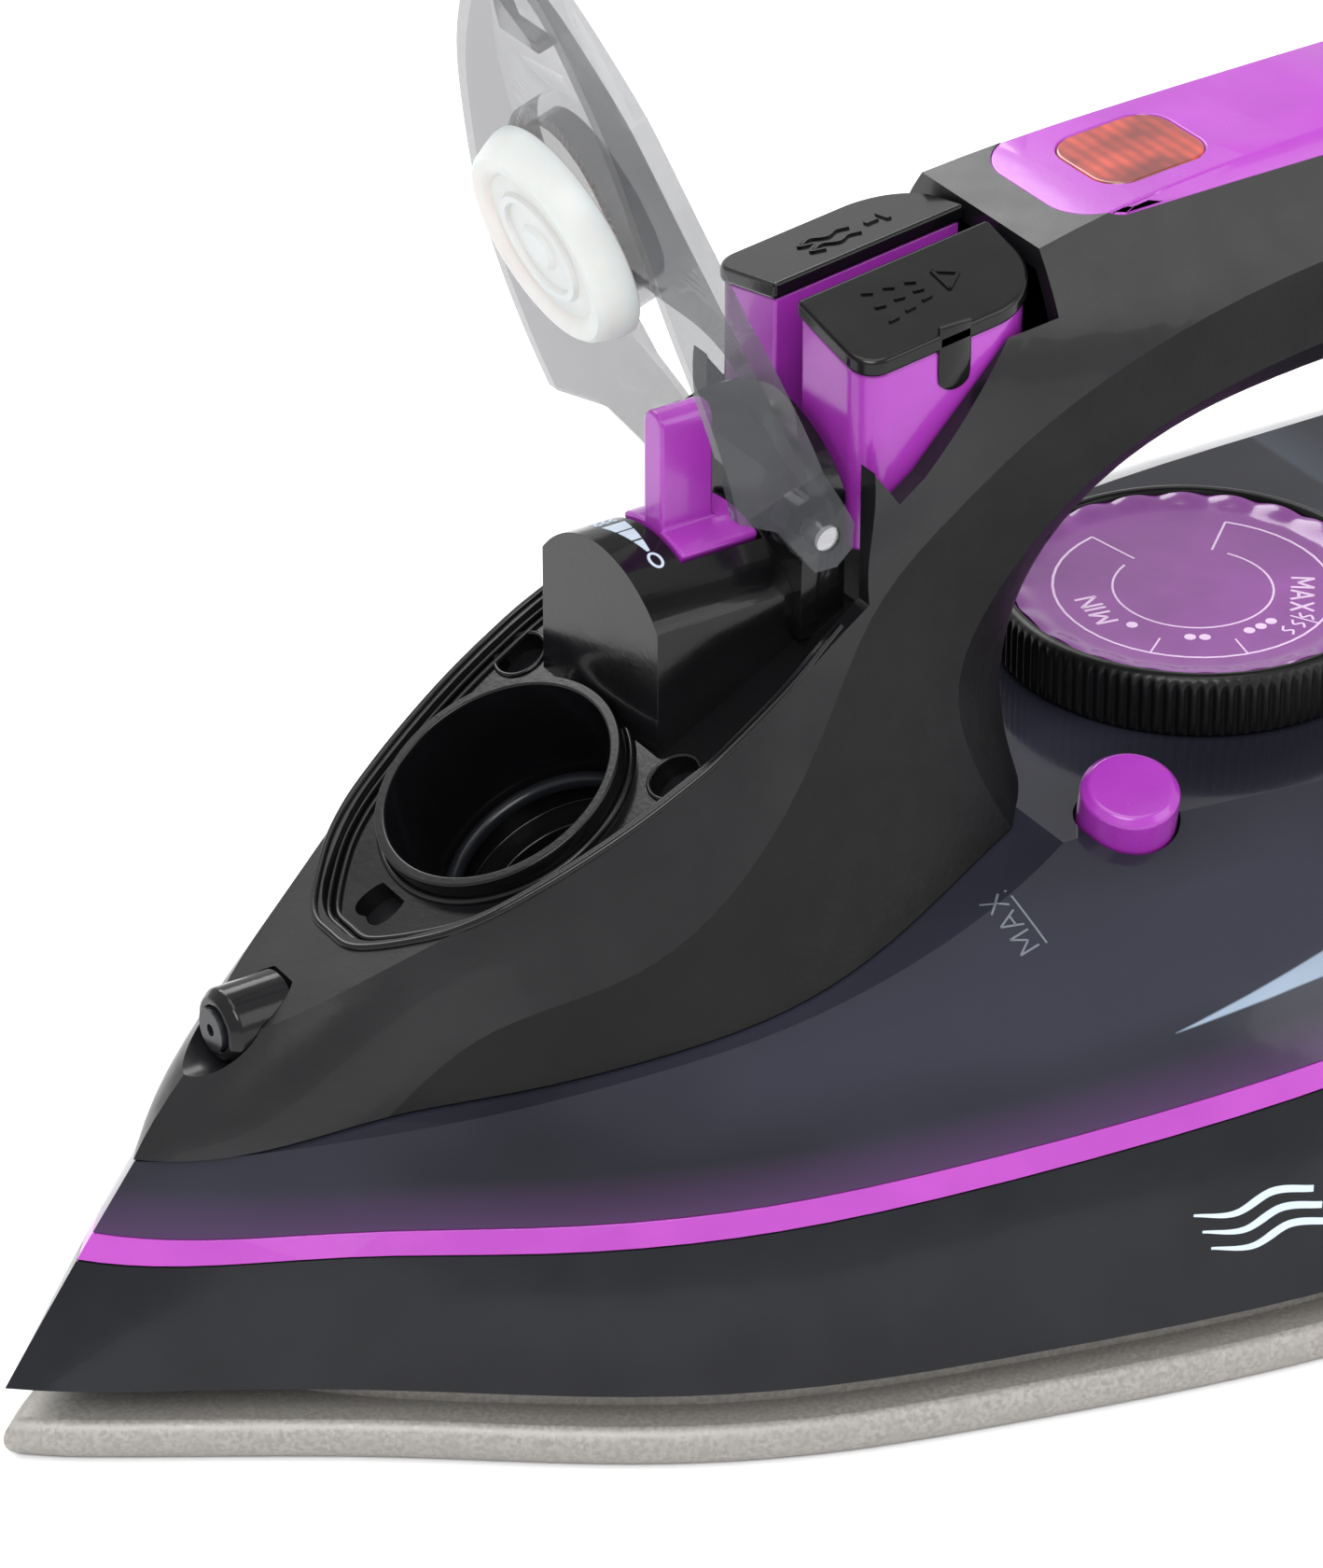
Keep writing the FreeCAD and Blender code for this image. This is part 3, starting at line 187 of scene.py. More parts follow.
def smoky_tank():
    """Dark smoke plastic with a violet cast low down, faint inner shadows and a pale swoosh on its side."""
    made = Finish("smoky_tank", tone(30, 31, 38), 0.12, Coat_Weight=0.12, Coat_Roughness=0.04, IOR=1.47,
                  Specular_IOR_Level=0.25)
    height = made.coordinate("Z")
    length = made.coordinate("X")
    inner = made.noise(34.0, 2.0, (0.45, 1.0, 1.6))
    base = made.mix(made.ramp(inner, 0.35, 0.65, 0.0, 1.0), tone(22, 23, 29), tone(42, 43, 54))
    above_band = made.maths("SUBTRACT", height, made.maths("MULTIPLY", length, 0.072))
    low = made.ramp(above_band, 0.0325, 0.0375, 1.0, 0.0)
    base = made.mix(made.maths("MULTIPLY", low, 0.75), base, tone(74, 48, 86))
    tip_x, tip_z, edge = -0.0311, 0.0367, 0.00008
    run = made.maths("SUBTRACT", length, tip_x)
    upper = made.maths("ADD", made.maths("MULTIPLY", run, 0.196), tip_z)
    lower = made.maths("ADD", made.maths("MULTIPLY", run, 0.105), tip_z)
    under = made.ramp(made.maths("SUBTRACT", upper, height), -edge, edge, 0.0, 1.0)
    over = made.ramp(made.maths("SUBTRACT", height, lower), -edge, edge, 0.0, 1.0)
    behind_tip = made.ramp(run, 0.0, 0.0002, 0.0, 1.0)
    swoosh = made.maths("MULTIPLY", made.maths("MULTIPLY", under, over), behind_tip)
    fading = made.ramp(run, 0.012, 0.075, 0.9, 0.0)
    made.colour(made.mix(made.maths("MULTIPLY", swoosh, fading), base, tone(140, 156, 174)))
    made.rough(made.noise(6.0, 4.0), 0.3, 0.7, 0.09, 0.16)
    made.bump(made.noise(2.2, 3.0), 0.012, 0.5)
    return made.material


def brushed(name, colour):
    """Metal with fine streaks along the iron."""
    made = Finish(name, colour, 0.3, Metallic=1.0)
    streaks = made.noise(1.0, 4.0, (0.05, 1.0, 1.0))
    made.rough(streaks, 0.3, 0.7, 0.22, 0.42)
    made.bump(streaks, 0.01)
    dull = (*(0.75 * channel for channel in colour[:3]), 1.0)
    made.colour(made.mix(made.ramp(streaks, 0.3, 0.7, 0.0, 0.6), colour, dull))
    return made.material


def clear_smoke():
    """Thin smoke-grey plastic that lets what is behind it show."""
    made = Finish("clear_smoke", tone(70, 72, 75), 0.08, Alpha=0.46, IOR=1.47)
    made.rough(made.noise(9.0, 3.0), 0.3, 0.7, 0.03, 0.08)
    made.bump(made.noise(12.0, 2.0), 0.04, 0.4)
    tint = made.noise(25.0, 2.0)
    made.colour(made.mix(made.ramp(tint, 0.3, 0.7, 0.0, 1.0), tone(62, 64, 67), tone(82, 84, 87)))
    return made.material


def red_lens():
    """Clear red-brown plastic, ribbed across the grip."""
    made = Finish("red_lens", tone(150, 36, 24), 0.14, Coat_Weight=0.8, Coat_Roughness=0.04)
    ribs = made.node("ShaderNodeTexWave", wave_type="BANDS", bands_direction="X")
    ribs.inputs["Scale"].default_value = 210.0
    ribs.inputs["Distortion"].default_value = 0.6
    made.link(made.place, ribs.inputs["Vector"])
    glow = made.noise(6.0, 2.0)
    body = made.mix(made.ramp(glow, 0.35, 0.65, 0.0, 1.0), tone(112, 26, 20), tone(190, 58, 34))
    made.colour(made.mix(made.ramp(ribs.outputs["Fac"], 0.0, 1.0, 0.0, 0.45), body, tone(84, 18, 16)))
    made.rough(glow, 0.3, 0.7, 0.1, 0.2)
    return made.material


def plain_print(name, colour):
    """Printing ink, slightly uneven."""
    made = Finish(name, colour, 0.42)
    worn = (*(0.85 * channel for channel in colour[:3]), 1.0)
    made.colour(made.mix(made.ramp(made.noise(1.2, 3.0), 0.3, 0.7, 0.0, 0.5), colour, worn))
    made.rough(made.noise(0.6, 2.0), 0.3, 0.7, 0.36, 0.5)
    return made.material


SOLE = granular_sole()
CHARCOAL = grained_charcoal()
TANK = smoky_tank()
LID = clear_smoke()
LENS = red_lens()
STEEL = brushed("brushed_steel", tone(176, 176, 178))
BRASS = brushed("brass", tone(196, 160, 92))
BLACK = moulded("gloss_black", tone(11, 11, 12), tone(16, 16, 18), 0.16, 0.12, Specular_IOR_Level=0.24)
NOSE = moulded("nose_black", tone(16, 16, 18), tone(24, 24, 26), 0.3, 0.16, Specular_IOR_Level=0.26)
SKIRT = moulded("skirt_black", tone(20, 21, 25), tone(28, 29, 33), 0.2, 0.08, Specular_IOR_Level=0.2)
PURPLE = moulded("purple", tone(158, 52, 170), tone(146, 44, 158), 0.24, 0.35, Specular_IOR_Level=0.4)
STRIPE = moulded("stripe_purple", tone(168, 66, 172), tone(156, 58, 162), 0.2, 0.3, Specular_IOR_Level=0.4)
KNURL = moulded("ring_black", tone(9, 9, 10), tone(14, 14, 15), 0.4, 0.1, 0.4, 0.02, Specular_IOR_Level=0.22)
DISC = moulded("disc_purple", tone(138, 56, 150), tone(112, 40, 124), 0.2, 0.5, Specular_IOR_Level=0.45)
SILICONE = moulded("silicone", tone(206, 204, 203), tone(192, 191, 190), 0.42, 0.0, 0.8, 0.02,
                   Subsurface_Weight=0.3)
WHITE = moulded("white_plastic", tone(222, 222, 218), tone(206, 206, 202), 0.4)
RUBBER = moulded("soft_black", tone(14, 14, 15), tone(20, 20, 21), 0.62, 0.0, 0.5, 0.03)
LAMP = moulded("lamp_red", tone(220, 90, 60), tone(190, 60, 40), 0.15, 0.6)
PALE_PRINT = plain_print("pale_print", tone(196, 210, 224))
DISC_PRINT = plain_print("disc_print", tone(226, 196, 230))
DIM_PRINT = plain_print("dim_print", tone(96, 100, 110))


# ---------------------------------------------------------------- ways to make a piece
def finish_mesh(name, mesh, material, body, crease=35.0):
    """Object of a mesh at the origin, shaded smooth except over sharp edges, riding on a body."""
    piece = bpy.data.objects.new(name, mesh)
    bpy.context.scene.collection.objects.link(piece)
    mesh.materials.clear()
    mesh.materials.append(material)
    mesh.shade_smooth()
    mesh.set_sharp_from_angle(angle=math.radians(crease))
    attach(piece, body)
    return piece


def body_of(node):
    """Moving body that a CAD node belongs to."""
    bodies = frame["record"]["behaviour"]["bodies"]
    return next(body for body, nodes in bodies.items() if node in nodes)


def refined(node, material, edge_mm, crease=28.0):
    """A closed, welded copy of a CAD node with softened edges, which stands for the node."""
    mesh = frame["nodes"][node].data.copy()
    shape = bmesh.new()
    shape.from_mesh(mesh)
    bmesh.ops.remove_doubles(shape, verts=shape.verts, dist=0.004 * MM)
    bmesh.ops.dissolve_limit(shape, angle_limit=math.radians(0.1), verts=shape.verts, edges=shape.edges)
    shape.to_mesh(mesh)
    shape.free()
    piece = finish_mesh(node + "_finished", mesh, material, body_of(node), crease)
    bevel = piece.modifiers.new("softened_edges", "BEVEL")
    bevel.width = edge_mm * MM
    bevel.segments = 2
    bevel.limit_method = "ANGLE"
    bevel.angle_limit = math.radians(crease)
    bevel.harden_normals = True
    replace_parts(piece, node)


# Material of each CAD node and how far its edges are softened, in millimetres; 0 leaves the node as it is.
CARRIED = {
    "soleplate": (SOLE, 0.0), "heater_element": (STEEL, 0.0), "heater_pins": (STEEL, 0.0),
    "chamber_gasket": (SILICONE, 0.0), "steam_chamber_cover": (STEEL, 0.0), "cover_screws": (STEEL, 0.0),
    "thermostat": (STEEL, 0.0), "skirt": (SKIRT, 0.0), "seal_band": (STRIPE, 0.2), "water_tank": (TANK, 0.0),
    "tank_floor": (TANK, 0.0), "upper_cover": (NOSE, 0.0), "handle_top_cover": (PURPLE, 0.35),
    "indicator_lens": (LENS, 0.3), "handle_shell": (CHARCOAL, 0.0), "indicator_lamp": (LAMP, 0.0),
    "deck_tray": (BLACK, 0.25), "filler_funnel": (BLACK, 0.25), "regulator_housing": (BLACK, 0.6),
    "steam_lever": (PURPLE, 0.4), "steam_valve_rod": (BRASS, 0.0), "drip_valve_seat": (SILICONE, 0.0),
    "spray_nozzle_body": (BLACK, 0.25), "spray_nozzle_tip": (SKIRT, 0.1), "lid_hinge_pins": (STEEL, 0.0),
    "spray_button_body": (PURPLE, 0.5), "spray_button_cap": (BLACK, 0.5), "spray_plunger": (WHITE, 0.0),
    "spray_pump": (WHITE, 0.0),
    "spray_pump_spring": (STEEL, 0.0), "steam_button_body": (PURPLE, 0.5), "steam_button_cap": (BLACK, 0.5),
    "steam_plunger": (WHITE, 0.0), "steam_pump": (WHITE, 0.0), "steam_pump_spring": (STEEL, 0.0),
    "dial_shaft": (BRASS, 0.0), "self_clean_button": (PURPLE, 0.3), "self_clean_rod": (BRASS, 0.0),
    "heel_cover": (CHARCOAL, 0.4), "heel_feet": (RUBBER, 0.3), "cord_gland": (RUBBER, 0.3),
    "cord_swivel": (RUBBER, 0.3), "terminal_block": (WHITE, 0.0),
}
for node, (material, edge) in CARRIED.items():
    if edge:
        refined(node, material, edge)
    else:
        slots = frame["nodes"][node].data.materials
        slots.clear()
        slots.append(material)


# ---------------------------------------------------------------- surfaces worked out on grids
DECK_TURN = math.radians(28.0)
DECK_START = np.array([44.5 - NOSE_REACH, 0.0, 51.9])
DECK_U = np.array([math.cos(DECK_TURN), 0.0, math.sin(DECK_TURN)])
DECK_N = np.array([-math.sin(DECK_TURN), 0.0, math.cos(DECK_TURN)])
HINGE = DECK_START + 55.3 * DECK_U + 9.9 * DECK_N
LID_OPEN = 99.3
FILLER_ALONG = 17.1


def on_deck(u, y, n):
    """Place on the sloping deck: up the slope, across, and square above it, all in millimetres."""
    u, y, n = np.broadcast_arrays(*(np.asarray(term, float) for term in (u, y, n)))
    level = DECK_START + u[..., None] * DECK_U + n[..., None] * DECK_N
    return level + y[..., None] * np.array([0.0, 1.0, 0.0])


def swung_open(points, degrees=LID_OPEN):
    """Places on the shut lid turned about the hinge line to where the lid stands open."""
    turn = math.radians(degrees)
    offset = points - HINGE
    x = offset[..., 0] * math.cos(turn) + offset[..., 2] * math.sin(turn)
    z = -offset[..., 0] * math.sin(turn) + offset[..., 2] * math.cos(turn)
    return HINGE + np.stack([x, offset[..., 1], z], axis=-1)


def grid_mesh(name, points, loops=(False, False), capped=False):
    """Quads over a grid of places in millimetres, closed along either direction, with flat end caps."""
    rows, columns = points.shape[:2]
    i = np.arange(rows if loops[0] else rows - 1)
    j = np.arange(columns if loops[1] else columns - 1)
    i, j = (part.ravel() for part in np.meshgrid(i, j, indexing="ij"))
    i_next, j_next = (i + 1) % rows, (j + 1) % columns
    corners = (i * columns + j, i_next * columns + j, i_next * columns + j_next, i * columns + j_next)
    faces = np.stack(corners, axis=1).tolist()
    if capped:
        faces += [list(range(columns)), list(range((rows - 1) * columns, rows * columns))]
    mesh = bpy.data.meshes.new(name)
    mesh.from_pydata((points.reshape(-1, 3) * MM).tolist(), [], faces)
    return mesh


def outward(mesh):
    """Merge the doubles at poles and seams, then turn every face of a closed shape outwards."""
    shape = bmesh.new()
    shape.from_mesh(mesh)
    bmesh.ops.remove_doubles(shape, verts=shape.verts, dist=0.002 * MM)
    bmesh.ops.recalc_face_normals(shape, faces=shape.faces)
    shape.to_mesh(mesh)
    shape.free()
    return mesh


def across_axis(axis):
    """Two directions square to an axis and to each other."""
    axis = np.asarray(axis, float) / np.linalg.norm(axis)
    helper = np.array([0.0, 1.0, 0.0]) if abs(axis[1]) < 0.9 else np.array([1.0, 0.0, 0.0])
    first = np.cross(helper, axis)
    first /= np.linalg.norm(first)
    return axis, first, np.cross(axis, first)


def lathe(name, profile, centre, axis, material, body, steps=120, ripple=None, crease=35.0):
    """Profile of (radius, height) turned about an axis; a ripple changes it by angle."""
    axis, first, second = across_axis(axis)
    angle = np.linspace(0, 2 * math.pi, steps, endpoint=False)[:, None]
    radius, height = (np.array(column)[None, :] for column in zip(*profile))
    if ripple is not None:
        radius, height = ripple(angle, radius, height)
    radius, height = np.broadcast_arrays(radius + 0 * angle, height + 0 * angle)
    outwards = np.cos(angle)[..., None] * first + np.sin(angle)[..., None] * second
    points = np.asarray(centre, float) + radius[..., None] * outwards + height[..., None] * axis
    mesh = outward(grid_mesh(name, points, (True, True)))
    return finish_mesh(name, mesh, material, body, crease)


def smooth_line(points, count):
    """Places along a smooth line through the given ones: cubic pieces whose slopes join neighbours."""
    points = np.asarray(points, float)
    padded = np.vstack([2 * points[0] - points[1], points, 2 * points[-1] - points[-2]])
    spans = len(padded) - 3
    t = np.linspace(0, spans, count)
    k = np.minimum(t.astype(int), spans - 1)
    f = (t - k)[:, None]
    p0, p1, p2, p3 = (padded[k + step] for step in range(4))
    square = 2 * p0 - 5 * p1 + 4 * p2 - p3
    cube = 3 * p1 - p0 - 3 * p2 + p3
    return 0.5 * (2 * p1 + (p2 - p0) * f + square * f ** 2 + cube * f ** 3)


def deck_bead(name, line, radius, material, closed=False, sides=10):
    """Round strip of ten sides that runs along a line of places on the deck."""
    tangent = np.roll(line, -1, 0) - np.roll(line, 1, 0) if closed else np.gradient(line, axis=0)
    tangent /= np.linalg.norm(tangent, axis=1)[:, None]
    side = np.cross(tangent, np.broadcast_to(DECK_N, line.shape))
    side /= np.linalg.norm(side, axis=1)[:, None]
    rise = np.cross(side, tangent)
    angle = np.linspace(0, 2 * math.pi, sides, endpoint=False)[None, :, None]
    points = line[:, None, :] + radius * (np.cos(angle) * side[:, None, :] + np.sin(angle) * rise[:, None, :])
    mesh = outward(grid_mesh(name, points, (closed, True), capped=not closed))
    finish_mesh(name, mesh, material, "iron_body", 50.0)


def strip(line, width):
    """Left and right edges of a flat stroke of a given width, or a width that changes on the way."""
    line = smooth_line(line, 40) if len(line) > 2 else np.linspace(line[0], line[1], 8)
    tangent = np.gradient(line, axis=0)
    tangent /= np.linalg.norm(tangent, axis=1)[:, None]
    side = np.stack([-tangent[:, 1], tangent[:, 0]], axis=1)
    widths = np.atleast_1d(width)
    half = np.interp(np.linspace(0, 1, len(line)), np.linspace(0, 1, len(widths)), widths)[:, None] / 2
    return line - side * half, line + side * half


def marks(name, strokes, lay, material, body, height, sunk=0.08):
    """Flat marks on a surface: each stroke is a thin closed slab, laid by a function of (a, b, rise)."""
    meshes = []
    for line, width in strokes:
        left, right = strip(np.asarray(line, float), width)
        corners = [lay(left, -sunk), lay(left, height), lay(right, height), lay(right, -sunk)]
        meshes.append(grid_mesh(name, np.stack(corners, axis=1), (False, True), capped=True))
    whole = bmesh.new()
    for mesh in meshes:
        whole.from_mesh(mesh)
        bpy.data.meshes.remove(mesh)
    bmesh.ops.recalc_face_normals(whole, faces=whole.faces)
    mesh = bpy.data.meshes.new(name)
    whole.to_mesh(mesh)
    whole.free()
    finish_mesh(name, mesh, material, body, 20.0)


def heading(degrees):
    """Direction in a plane, turned by an angle."""
    return np.array([math.cos(math.radians(degrees)), math.sin(math.radians(degrees))])


def arc(centre, radius, start, end, count):
    """Places along part of a circle."""
    angle = np.radians(np.linspace(start, end, count))
    return np.stack([centre[0] + radius * np.cos(angle), centre[1] + radius * np.sin(angle)], axis=1)


# Strokes of the letters in the generic words MAX and MIN, one unit tall.
LETTERS = {
    "M": [[(0, 0), (0, 1)], [(0, 1), (0.4, 0.3)], [(0.4, 0.3), (0.8, 1)], [(0.8, 1), (0.8, 0)]],
    "A": [[(0, 0), (0.38, 1)], [(0.38, 1), (0.76, 0)], [(0.14, 0.34), (0.62, 0.34)]],
    "X": [[(0, 0), (0.7, 1)], [(0, 1), (0.7, 0)]], "I": [[(0.12, 0), (0.12, 1)]],
    "N": [[(0, 0), (0, 1)], [(0, 1), (0.7, 0)], [(0.7, 0), (0.7, 1)]],
}


def lettering(word, start, reading, tall, weight):
    """Strokes of a short generic word, reading along a direction in the plane of the surface."""
    reading = np.asarray(reading, float) / np.linalg.norm(reading)
    upright = np.array([-reading[1], reading[0]])
    strokes, advance = [], 0.0
    for letter in word:
        lines = [np.asarray(line, float) for line in LETTERS[letter]]
        for line in lines:
            shift = (line[:, :1] + advance) * reading + line[:, 1:] * upright
            strokes.append((np.asarray(start) + tall * shift, weight))
        advance += max(line[:, 0].max() for line in lines) + 0.28
    return strokes


def dot(centre, radius):
    """Round spot as one short fat stroke."""
    line = np.array([[centre[0] + shift * radius, centre[1]] for shift in (-1, 0, 1)])
    return line, 2 * radius * np.sqrt(np.clip(1 - np.linspace(-1, 1, 15) ** 2, 0.02, 1))


# ---------------------------------------------------------------- temperature dial
DIAL = np.array([146.4 - NOSE_REACH, 0.0, 50.4])
DISH = [(16.6, 5.88), (13, 5.8), (9, 5.76), (5, 5.73), (0.0, 5.72)]


def ribbed(angle, radius, height):
    """Narrow ribs down the ring's outer wall, which fade out under its rounded top."""
    wall = np.clip((radius - 21.2) / 0.4, 0, 1) * np.clip((6.4 - height) / 0.6, 0, 1)
    return radius - wall * 0.42 * (0.5 + 0.5 * np.cos(104 * angle)) ** 1.5, height


def scalloped(angle, radius, height):
    """Low scallops round the edge of the disc's upper face."""
    edge = np.clip((radius - 17.0) / 2.4, 0, 1) * (height > 5.2)
    return radius, height + edge * (0.35 + 0.38 * np.abs(np.sin(11 * angle)) ** 1.4)


def on_dish(place, rise):
    """Marks on the disc's dished face."""
    spread = np.hypot(place[:, 0], place[:, 1])
    radii, heights = zip(*DISH[::-1])
    return np.column_stack([place, np.interp(spread, radii, heights) + rise]) + DIAL


def dial_strokes():
    """Two open rings, dots for three warmths, and small words and a puff of steam at the ends."""
    strokes = [(arc((0, 0), 15.0, 100, 400, 70), 0.28), (arc((0, 0), 8.6, 112, 388, 60), 0.24)]
    strokes += [((heading(angle) * 8.7, heading(angle) * 15.0), 0.24) for angle in (100, 40)]
    for angle, count in ((196, 1), (236, 2), (276, 3)):
        strokes += [dot(10.6 * heading(angle + (k - (count - 1) / 2) * 8.5), 0.62) for k in range(count)]
    strokes += [((heading(angle) * 11.6, heading(angle) * 14.9), 0.2) for angle in (216, 256, 296)]
    for word, angle in (("MAX", 322), ("MIN", 170)):
        reading = heading(angle - 90)
        strokes += lettering(word, heading(angle) * 10.4 - reading * 3.1, reading, 2.5, 0.36)
    for angle in (283, 291, 299):
        swing = heading(angle + 90) * 0.35
        wave = [heading(angle) * (12.2 + 0.65 * step) + swing * (-1) ** step for step in range(4)]
        strokes.append((wave, 0.26))
    return strokes


def dial():
    """Ribbed ring round a dished disc with a scalloped edge, printed with dots and rings."""
    profile = [(19.75, 0), (21.2, 0), (21.6, 0.5), (21.6, 2), (21.6, 4), (21.6, 5.4), (21.5, 6.0),
               (21.25, 6.5), (20.9, 6.85), (20.5, 7.0), (20.1, 6.95), (19.85, 6.6), (19.75, 5.6)]
    ring = lathe("dial_ring_ribbed", profile, DIAL, UPWARDS, KNURL, "dial", 1040, ribbed, 60.0)
    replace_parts(ring, "dial_ring")
    profile = [(0.0, 4.9), (19.6, 4.9), (19.6, 5.6), (19.55, 6.0), (19.0, 6.08), (18.4, 6.05), (17.8, 5.98),
               (17.2, 5.92), *DISH]
    disc = lathe("dial_disc_dished", profile, DIAL, UPWARDS, DISC, "dial", 264, scalloped, 40.0)
    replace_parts(disc, "dial_disc")
    marks("dial_print", dial_strokes(), on_dish, DISC_PRINT, "dial", 0.03)


dial()


# ---------------------------------------------------------------- deck details
# Half of the deck's rim: distance up the slope, half width.
DECK_RIM = np.array([(-6.2, 0), (-5.4, 4.6), (0, 10.4), (5, 13.6), (10.6, 15.6), (16.4, 17.1), (22.3, 18.2),
                     (28.3, 18.8), (34.4, 18.9), (44, 17.8), (52, 16)])


def deck_ridges():
    """Three round sealing ridges inside the deck's rim, each following its outline further in."""
    line = smooth_line(np.vstack([DECK_RIM[:0:-1] * [1, -1], DECK_RIM]), 160)
    slope = np.gradient(line, axis=0)
    slope /= np.linalg.norm(slope, axis=1)[:, None]
    inwards = np.stack([slope[:, 1], -slope[:, 0]], axis=1)
    for name, inset, radius, low in (("outer", 0.55, 0.42, 0.02), ("middle", 1.75, 0.3, -0.9),
                                     ("inner", 2.6, 0.36, -1.3)):
        ridge = line + inset * inwards
        deck_bead(f"deck_ridge_{name}", on_deck(ridge[:, 0], ridge[:, 1], low), radius, BLACK)


def deck_hoop(name, centre, radius, level, thickness, material, steps=96):
    """Closed round bead on the deck about a centre."""
    ring = arc(centre, radius, 0, 360, steps + 1)[:-1]
    deck_bead(name, on_deck(ring[:, 0], ring[:, 1], level), thickness, material, closed=True)


def filler_details():
    """Rounded lip and collar on the filler cup, a step low inside it, and a lip on each vent beside it."""
    cup = (FILLER_ALONG, 0)
    deck_hoop("filler_lip", cup, 13.0, 0.52, 0.48, BLACK)
    deck_hoop("filler_collar", cup, 13.9, -1.25, 0.4, BLACK)
    deck_hoop("filler_step", cup, 11.6, -13.5, 0.9, SKIRT)
    for name, side in (("near", -1), ("far", 1)):
        deck_hoop(f"vent_lip_{name}", (29.4, side * 14.6), 2.85, -1.35, 0.28, BLACK, 48)


def stopper():
    """Soft plug with a raised sealing lip, a shallow dish and a ring and button in its middle."""
    foot = on_deck(FILLER_ALONG, 0, -3.0)
    lean = swung_open(foot + DECK_N) - swung_open(foot)
    profile = [(0, 0.25), (2.0, 0.3), (2.6, 0.75), (4.9, 0.8), (5.2, 0.35), (5.9, 0.35), (6.2, 0.8),
               (8.0, 0.85), (8.6, 0.3), (9.4, 0.02), (10.2, 0.1), (10.7, 0.55), (10.95, 1.2), (11.35, 2.2),
               (11.7, 3.3), (11.7, 4.0), (11.5, 4.2), (0, 4.2)]
    plug = lathe("stopper_plug", profile, swung_open(foot), lean, SILICONE, "lid", 96)
    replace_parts(plug, "lid_stopper")


def lid():
    """The lid with its free end drawn out into a raised lip: places near that end move down the slope."""
    mesh = frame["nodes"]["filler_lid"].data.copy()
    places = np.empty(3 * len(mesh.vertices))
    mesh.vertices.foreach_get("co", places)
    shut = swung_open(places.reshape(-1, 3) / MM, -LID_OPEN) - DECK_START
    along = shut @ DECK_U
    lip_start, lip_span = 24.0, 30.2
    share = np.clip((lip_start - along) / lip_span, 0, 1) ** 1.5
    shut = shut + share[:, None] * (3.4 * DECK_N - 7.5 * DECK_U)
    mesh.vertices.foreach_set("co", (swung_open(shut + DECK_START) * MM).ravel())
    mesh.update()
    shape = bmesh.new()
    shape.from_mesh(mesh)
    bmesh.ops.remove_doubles(shape, verts=shape.verts, dist=0.004 * MM)
    shape.to_mesh(mesh)
    shape.free()
    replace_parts(finish_mesh("lid_with_lip", mesh, LID, "lid", 30.0), "filler_lid")


deck_ridges()
filler_details()
lid()
stopper()


# ---------------------------------------------------------------- marks
BARREL_RADIUS = 13.75
BARREL_HEIGHT = 70.25


def on_barrel(place, rise):
    """Marks on the regulator's round top: first along the iron, then round the barrel to the near side."""
    turn = place[:, 1] / BARREL_RADIUS
    reach = BARREL_RADIUS + rise
    height = BARREL_HEIGHT + reach * np.cos(turn)
    return np.column_stack([place[:, 0] - NOSE_REACH, -reach * np.sin(turn), height])


def regulator_marks():
    """A nought, three blocks that grow wider, and a small puff of steam at the wide end."""
    x = 75.3
    turns = np.linspace(0, 2 * math.pi, 17)
    strokes = [(np.column_stack([x + 0.62 * np.cos(turns), 4.6 + 0.95 * np.sin(turns)]), 0.3)]
    for start, end, first, last in ((3.2, 1.3, 0.35, 1.05), (1.0, -1.0, 1.15, 1.85), (-1.3, -3.4, 1.95, 2.7)):
        strokes.append((((x, start), (x, end)), (first, last)))
    for shift in (-1.0, -0.1, 0.8):
        wave = [(x + shift + 0.28 * (-1) ** step, -4.3 - 0.6 * step) for step in range(4)]
        strokes.append((wave, 0.3))
    marks("regulator_print", strokes, on_barrel, PALE_PRINT, "iron_body", 0.05)


def cap_plane(side):
    """Laying function for the sloping top of a thumb button's cap."""
    climb, lean = math.radians(7.0), math.radians(12.0)
    along = np.array([math.cos(climb), 0.0, math.sin(climb)])
    fall = math.sin(lean) * np.array([math.sin(climb), 0.0, -math.cos(climb)])
    out = fall + np.array([0.0, side * math.cos(lean), 0.0])
    normal = np.cross(along, out) * side
    corner = np.array([93.9 - NOSE_REACH, side * 2.3, 106.1])
    return lambda place, rise: corner + place[:, :1] * along + place[:, 1:] * out + rise * normal


def button_marks():
    """Embossed signs: a jet of drops on the near button and two curling plumes on the far one."""
    peak, left, right = (15.6, 5.0), (13.4, 3.4), (13.4, 6.6)
    spray = [((start, end), 0.35) for start, end in ((peak, left), (left, right), (right, peak))]
    for column in range(3):
        for row in range(3):
            x, y = 11.2 - 2.3 * column, 5.0 + (row - 1) * (1.3 + 0.45 * column)
            spray.append(([(x, y), (x - 1.1, y + (row - 1) * 0.3)], (0.7, 0.25)))
    marks("spray_sign", spray, cap_plane(-1), BLACK, "spray_button", 0.22)
    steam = []
    for y in (3.6, 6.0):
        steam.append(([(7.0, y), (8.4, y + 0.7), (9.8, y - 0.4), (11.2, y + 0.3), (12.6, y - 0.2)], (0.3, 0.75)))
        steam.append(([(7.9, y - 0.9), (6.6, y), (7.7, y + 1.0)], 0.35))
    steam += [([(14.0, 4.8), (15.4, 4.8)], 0.8), ([(16.2, 3.6), (16.2, 6.0)], 0.5)]
    marks("steam_sign", steam, cap_plane(1), BLACK, "steam_button", 0.22)


